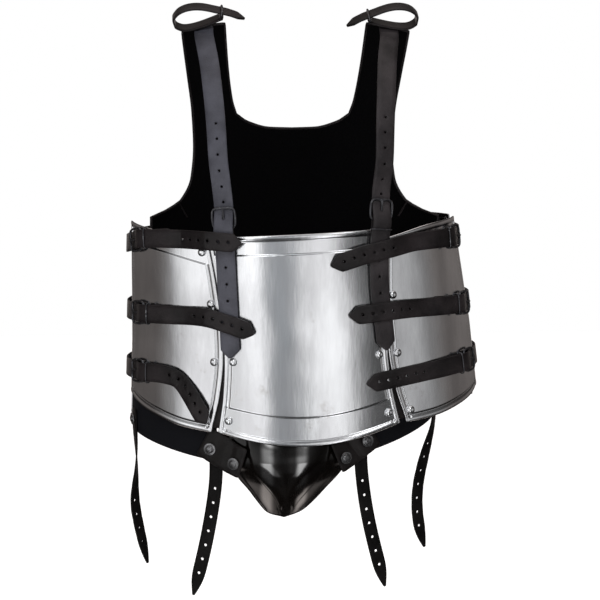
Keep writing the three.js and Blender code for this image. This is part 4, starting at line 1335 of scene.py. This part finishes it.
    def dart(self, side: Side) -> BMesh:
        """A raised seam below the arm hole, on the side that faces the wearer's front.

        Args:
            side: Which side.

        Returns:
            Its closed mesh.
        """
        start, end = (Vector(place) for place in self.dart_ends)
        turns = [2 * math.pi * j / self.dart_sides for j in range(self.dart_sides)]
        bm = bmesh.new()
        rings = []
        for i in range(self.dart_steps + 1):
            out, up = start.lerp(end, i / self.dart_steps)
            centre = self.on_section(side.sign * out * self.half_width, up * self.shoulder)
            centre.y -= self.thickness
            ring = [centre + Vector((math.cos(turn), -math.sin(turn), 0)) * self.seam for turn in turns]
            rings.append([bm.verts.new(point) for point in ring])
        for low, high in zip(rings, rings[1:]):
            for j in range(self.dart_sides):
                bm.faces.new((low[j], low[j - 1], high[j - 1], high[j]))
        bm.faces.new(rings[0])
        bm.faces.new(list(reversed(rings[-1])))
        bmesh.ops.recalc_face_normals(bm, faces=bm.faces)
        smooth(bm)
        return bm

    def bound(self, border: Sequence[BMEdge]) -> BMesh:
        """A narrow folded tape along the cloth's border.

        Args:
            border: The cloth's open edges.

        Returns:
            The tape's mesh.
        """
        curve = bpy.data.curves.new("tape", "CURVE")
        curve.dimensions = "3D"
        curve.bevel_depth, curve.bevel_resolution = self.binding, 2
        inward = self.thickness / 2
        neighbours: dict[BMVert, list[BMVert]] = {}
        for edge in border:
            for here, there in (edge.verts, reversed(edge.verts)):
                neighbours.setdefault(here, []).append(there)
        left = set(neighbours)
        while left:
            start = min(left, key=lambda vert: (round(vert.co.z, 5), round(vert.co.x, 5)))
            loop, here, before = [start], neighbours[start][0], start
            while here is not start:
                loop.append(here)
                here, before = next(v for v in neighbours[here] if v is not before), here
            left -= set(loop)
            spline = curve.splines.new("POLY")
            spline.points.add(len(loop) - 1)
            for point, vert in zip(spline.points, loop):
                point.co = (*(vert.co - vert.normal * inward), 1)
            spline.use_cyclic_u = True
        holder = bpy.data.objects.new("tape", curve)
        bm = bmesh.new()
        bm.from_mesh(holder.to_mesh())
        holder.to_mesh_clear()
        bpy.data.objects.remove(holder)
        bpy.data.curves.remove(curve)
        smooth(bm)
        return bm


@dataclass(frozen=True)
class HipBelt:
    """The webbing belt round the hips, open in front where the tabs join it."""

    shift: float = -0.0225
    half_width: float = 0.165
    half_depth: float = 0.105
    width: float = 0.038
    rise: float = 0.004
    thickness: float = 0.0025
    side_height: float = -0.094
    front_dip: float = 0.030
    end: float = 0.076
    crown: float = 0.0002
    steps: int = 150
    rows: int = 7
    step_length: float = 0.0058

    def at(self, turn: float, lift: float) -> Vector:
        """A point of the belt's middle line, before the tilt.

        Args:
            turn: Angle from the front middle.
            lift: Distance outwards.

        Returns:
            The point.
        """
        height = self.side_height - self.front_dip * max(0.0, math.cos(turn)) ** 2
        x = (self.half_width + lift) * math.sin(turn) + self.shift
        return Vector((x, -(self.half_depth + lift) * math.cos(turn), height))

    def build(self, webbing: Material) -> None:
        """Makes the belt.

        Args:
            webbing: Its material.
        """
        start = math.asin(self.end / self.half_width)

        def place(column: int, row: int) -> Vector:
            """One corner."""
            turn = start + (2 * math.pi - 2 * start) * column / self.steps
            rise = (row / (self.rows - 1) - 0.5) * self.width + self.rise
            crown = self.crown * (1 - (2 * row / (self.rows - 1) - 1) ** 2)
            return rolled(self.at(turn, 1.5 * self.thickness + crown) + Vector((0, 0, rise)))

        bm = grid_sheet(self.steps + 1, self.rows, place)
        uv = bm.loops.layers.uv.active
        for face in bm.faces:
            for loop in face.loops:
                u, v = loop[uv].uv
                loop[uv].uv = Vector((u * self.step_length, v * self.width / (self.rows - 1)))
        middle = Vector((self.shift, 0, self.side_height))
        outward = sum(face.normal.dot(face.calc_center_median() - middle) > 0 for face in bm.faces)
        flipped(bm, outward < len(bm.faces) / 2)
        piece = new_piece("hip_belt_webbing", bm, webbing, "black_webbing", ["hip_belt"])
        thicken(piece, self.thickness, SOFT_EDGE)


@dataclass(frozen=True)
class GroinCup:
    """The moulded cup: a raised middle panel, a raised rim and a pressed ring.

    The rows are the way down, the width, the middle's and edge's depths, and the ridge's place.
    """

    half_width: float = 0.071
    top: float = -0.100
    height: float = 0.104
    depth: float = 0.119
    wall: float = 0.0025
    relief: float = 0.002
    sway: float = 0.008
    sway_start: float = 0.3
    ring_sway: float = 0.65
    shift: float = -0.0225
    ring: float = 0.0068
    ring_width: float = 0.0011
    ring_depth: float = 0.0008
    ring_down: float = 0.87
    ridge_width: float = 0.05
    rim: tuple[float, float] = (0.86, 0.91)
    tip_fade: tuple[float, float] = (0.9, 0.97)
    corners: tuple[int, int] = (121, 101)
    rows: Table = Table([
        (0, 1, 0.93, 0.79, 0.62), (0.2, 1, 0.98, 0.79, 0.6), (0.34, 1, 1, 0.78, 0.56),
        (0.43, 0.88, 1, 0.75, 0.6),
        (0.55, 0.76, 0.97, 0.71, 0.53), (0.67, 0.62, 0.91, 0.66, 0.43), (0.84, 0.43, 0.79, 0.6, 0.28),
        (0.95, 0.28, 0.69, 0.56, 0.25), (0.98, 0.19, 0.65, 0.55, 0.25), (1, 0.05, 0.62, 0.55, 0.25),
    ])

    def at(self, share: float, down: float) -> Vector:
        """A point of the outer face, before the tilt.

        Args:
            share: Across, from -1 to 1.
            down: From 0 at the top to 1 at the tip.

        Returns:
            The point.
        """
        half, middle, edge, ridge = (self.rows.read(down, column) for column in (1, 2, 3, 4))
        away = abs(share)
        bulge = math.cos(min(1.0, away) * math.pi / 2) ** 0.8 if away < 1 else 0.0
        depth = self.depth * (edge + (middle - edge) * bulge)
        valley = step(away, ridge, ridge + self.ridge_width)
        valley *= (1 - step(away, *self.rim)) * (1 - step(down, *self.tip_fade))
        sway = self.sway * 2 * max(0.0, down - self.sway_start) ** 2
        x = share * half * self.half_width + self.shift - sway
        z = self.top - down * self.height
        aside, up = self.sway * self.ring_sway, self.ring_down * self.height
        from_ring = (x - self.shift + aside, z - self.top + up)
        groove = self.ring_depth * math.exp(-((math.hypot(*from_ring) - self.ring) / self.ring_width) ** 2)
        return Vector((x, -(depth - self.relief * valley - groove), z))

    def build(self, gloss: Material) -> None:
        """Makes the cup.

        Args:
            gloss: Its material.
        """
        columns, rows = self.corners

        def place(column: int, row: int) -> Vector:
            """One corner."""
            return rolled(self.at(2 * column / (columns - 1) - 1, 1 - row / (rows - 1)))

        bm = grid_sheet(columns, rows, place)
        flipped(bm, sum(face.normal.y for face in bm.faces) > 0)
        piece = new_piece("groin_cup_shell", bm, gloss, "black_gloss", ["groin_cup"])
        thicken(piece, self.wall)


# Light and camera


@dataclass(frozen=True)
class Studio:
    """A white room with pale and grey walls, seen in the steel, and the camera."""

    distance: float = 2.6
    azimuth: float = math.radians(-3)
    elevation: float = math.radians(8)
    target: Vector = field(default_factory=lambda: Vector((0, 0, 0.026)))
    sensor: float = 36.0
    picture_width: float = 0.672
    window_light: float = 3.0
    low_light: float = 1.9
    glow_light: float = 0.9
    gain: float = 2.0
    floor: float = -0.95
    lamps: tuple[tuple[str, tuple[float, float, float], float, float], ...] = (
        ("key_lamp", (-1.3, -1.7, 1.9), 1.2, 26), ("fill_lamp", (1.6, -1.5, 1.4), 1.2, 14),
        ("rim_lamp", (0.4, 1.8, 1.8), 1.4, 18),
    )
    walls: Pairs = (
        (-180, 0.1), (-160, 0.4), (-145, 0.07), (-110, 0.08), (-86, 0.07), (-72, 0.15), (-62, 0.5),
        (-50, 0.72), (-40, 0.7), (-31, 0.3), (-24, 0.6), (-17, 0.85), (-13, 0.17), (-1, 0.17), (3, 0.56),
        (19, 0.6), (25, 0.14), (34, 0.02), (42, 0.02), (47, 0.3), (58, 0.25), (70, 0.11), (95, 0.06),
        (112, 0.09), (145, 0.08), (156, 0.4), (180, 0.1),
    )
    high_band: tuple[float, ...] = (0.2, 0.28, 0.6, 0.68)
    low_band: tuple[float, ...] = (-0.75, -0.6, -0.22, -0.15)
    windows: Pairs = ((-17, 4), (23, 4))
    low_windows: Pairs = ((-27, 5), (18, 4.5))

    def world(self) -> None:
        """White to the eye, and with the room's walls in reflections."""
        world = bpy.data.worlds.new("studio")
        bpy.context.scene.world = world
        world.use_nodes = True
        graph = Graph(world.node_tree)
        x, y, z = graph.axes(graph.add("ShaderNodeTexCoord", output="Generated"))
        turn = graph.add("ShaderNodeMath", {"operation": "ARCTAN2"}, [x, y * -1.0])
        across = turn / (2 * math.pi) + 0.5
        stops = [(place / 360 + 0.5, grey) for place, grey in self.walls]
        ramp = graph.add("ShaderNodeValToRGB", {"stops": stops}, [across])
        height = z.between(-0.4, 0.02, 0.1, 1.0)
        above = z.between(0.65, 0.85)
        shade = ramp * self.gain * height * z.between(0.12, 0.22, 1, 0.25) + above * 0.8
        for edges, windows, light in (
            (self.high_band, self.windows, self.window_light),
            (self.low_band, self.low_windows, self.low_light),
        ):
            band = z.between(*edges[:2]) * (1 - z.between(*edges[2:]))
            for middle, half in windows:
                away = (across * 360 - (middle + 180)).call("ABSOLUTE")
                shade = shade + band * away.between(half, half + 3, 1, 0) * light
        flank = (x.call("ABSOLUTE") - 0.42).call("ABSOLUTE").between(0.06, 0.13, 1, 0)
        shade = shade + flank * y.between(0.1, 0.2) * z.between(-0.8, -0.65, 1, 0) * self.glow_light
        seen = graph.add("ShaderNodeLightPath", output="Is Camera Ray")
        strength = shade * (1 - seen) + seen
        brown = turn.call("ABSOLUTE").between(1.1, 1.6) * (1 - seen)
        tint = graph.blend(brown, (1.0, 1.0, 1.0), (1.0, 0.90, 0.85))
        cool = (turn + 0.12).call("ABSOLUTE").between(0.05, 0.15, 1, 0) * (1 - seen)
        tint = graph.blend(cool, tint, (0.90, 0.95, 1.0))
        back = graph.add("ShaderNodeBackground", {}, {"Color": tint, "Strength": strength})
        graph.end("ShaderNodeOutputWorld", back)

    def lamp(self, name: str, place: Vector, size: float, power: float) -> None:
        """A soft square lamp aimed at the waist.

        Args:
            name: The lamp's name.
            place: Where it stands.
            size: Its side.
            power: Its power in watts.
        """
        data = bpy.data.lights.new(name, "AREA")
        data.shape, data.size, data.energy = "SQUARE", size, power
        lamp = placed(name, data)
        lamp.location = place
        lamp.rotation_euler = (self.target - place).to_track_quat("-Z", "Y").to_euler()
        lamp.visible_glossy = False

    def ground(self) -> None:
        """A plain pale floor."""
        bm = bmesh.new()
        bmesh.ops.create_grid(bm, x_segments=1, y_segments=1, size=6)
        bmesh.ops.translate(bm, verts=bm.verts, vec=(0, 0, self.floor))
        mesh = mesh_of("floor", bm)
        floor = placed("floor", mesh)
        mesh.materials.append(PaleFloor().material())
        floor.visible_glossy = False
        floor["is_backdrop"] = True

    def build(self) -> None:
        """Sets the room, lamps and camera."""
        scene = bpy.context.scene
        scene.view_settings.view_transform = "Standard"
        self.world()
        self.ground()
        for name, place, size, power in self.lamps:
            self.lamp(name, Vector(place), size, power)
        level = math.cos(self.elevation)
        back = Vector((
            math.sin(self.azimuth) * level, -math.cos(self.azimuth) * level, math.sin(self.elevation),
        ))
        data = bpy.data.cameras.new("camera")
        data.sensor_width = self.sensor
        data.lens = self.sensor * self.distance / self.picture_width
        camera = placed("camera", data)
        camera.location = self.target + back * self.distance
        camera.rotation_euler = (-back).to_track_quat("-Z", "Y").to_euler()
        scene.camera = camera


# The harness


@dataclass(frozen=True)
class Harness:
    """Everything that is worn."""

    nodes: dict[str, Object]

    @property
    def leathers(self) -> tuple[StrapLeather, ...]:
        """Black, grey, brown and hanging strap leather, and a lighter black one that is painted sheen; the
        grey is partly painted sheen.
        """
        return (
            StrapLeather("black_strap_leather", (0.0024, 0.0019, 0.0021), (0.018, 0.0145, 0.0155), 0.34),
            # Partly painted sheen: the grey's light bluish base colour also stands in for window light
            # reflected off the strap's top.
            StrapLeather("grey_and_sheen_strap_leather", (0.021, 0.021, 0.027), (0.074, 0.075, 0.092), 0.42),
            StrapLeather("brown_strap_leather", (0.0022, 0.0016, 0.0015), (0.011, 0.0085, 0.0085), 0.38),
            StrapLeather("hanging_strap_leather", (0.0012, 0.001, 0.001), (0.007, 0.006, 0.006), 0.4, 0.1),
            # Painted sheen: a lighter copy of the black leather for the right shoulder strap.
            StrapLeather("sheen_strap_leather", (0.007, 0.006, 0.0065), (0.034, 0.029, 0.031), 0.38),
        )

    def build(self) -> None:
        """Makes every piece."""
        steel = PolishedSteel().material()
        dark = BlackenedSteel().material()
        black, grey, brown, hanging, sheened = (leather.material() for leather in self.leathers)
        head = BlackenedSteel("hip_rivet_steel", (0.16, 0.16, 0.165), (0.7, 0.7, 0.72), 0.26).material()
        cloth = VestCloth().material()
        SteelPlates().build(steel)
        Vest().build(cloth, black)
        HipBelt().build(Webbing().material())
        GroinCup().build(GlossLeather().material())
        refined = Refined(self.nodes)
        for side in Side:
            word = side.word
            for level in ("upper", "middle", "lower"):
                for part in ("strap", "chape"):
                    refined.leather(f"waist_{part}_{level}_{word}", black, "black_leather")
                for part in ("buckle", "keeper"):
                    refined.wire(f"waist_{part}_{level}_{word}", dark)
            # Painted sheen: the shoulder straps' leathers are lighter than the black one to stand in for
            # their sheen.
            tone = grey if side is Side.LEFT else sheened
            for part, leather, slot in (
                ("shoulder_strap", tone, "grey_leather"), ("shoulder_chape", black, "black_leather"),
                ("joint_strip", brown, "brown_leather"), ("loop_strap", black, "grey_leather"),
                ("cup_tab", brown, "brown_leather"),
            ):
                refined.leather(f"{part}_{word}", leather, slot)
            for part in ("shoulder_buckle", "shoulder_keeper", "loop_buckle"):
                refined.wire(f"{part}_{word}", dark)
            for part in ("hip_hanger_outer", "hip_hanger_inner"):
                refined.leather(f"{part}_{word}", hanging, "black_leather")
            for part in ("belt_rivet", "cup_rivet", "hanger_rivet_outer"):
                refined.rivet(f"{part}_{word}", head)


def corners(box: tuple[Vector, Vector]) -> list[list[float]]:
    """A box's corners as plain lists."""
    return [list(corner) for corner in box]


def main() -> None:
    """Builds the scene around the frame."""
    logging.basicConfig(level=logging.INFO, format="%(name)s: %(message)s")
    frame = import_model()
    cad = corners(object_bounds())
    Studio().build()
    Harness(frame["nodes"]).build()
    {"cad": cad, "visual": corners(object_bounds())}


if __name__ == "__main__":
    main()
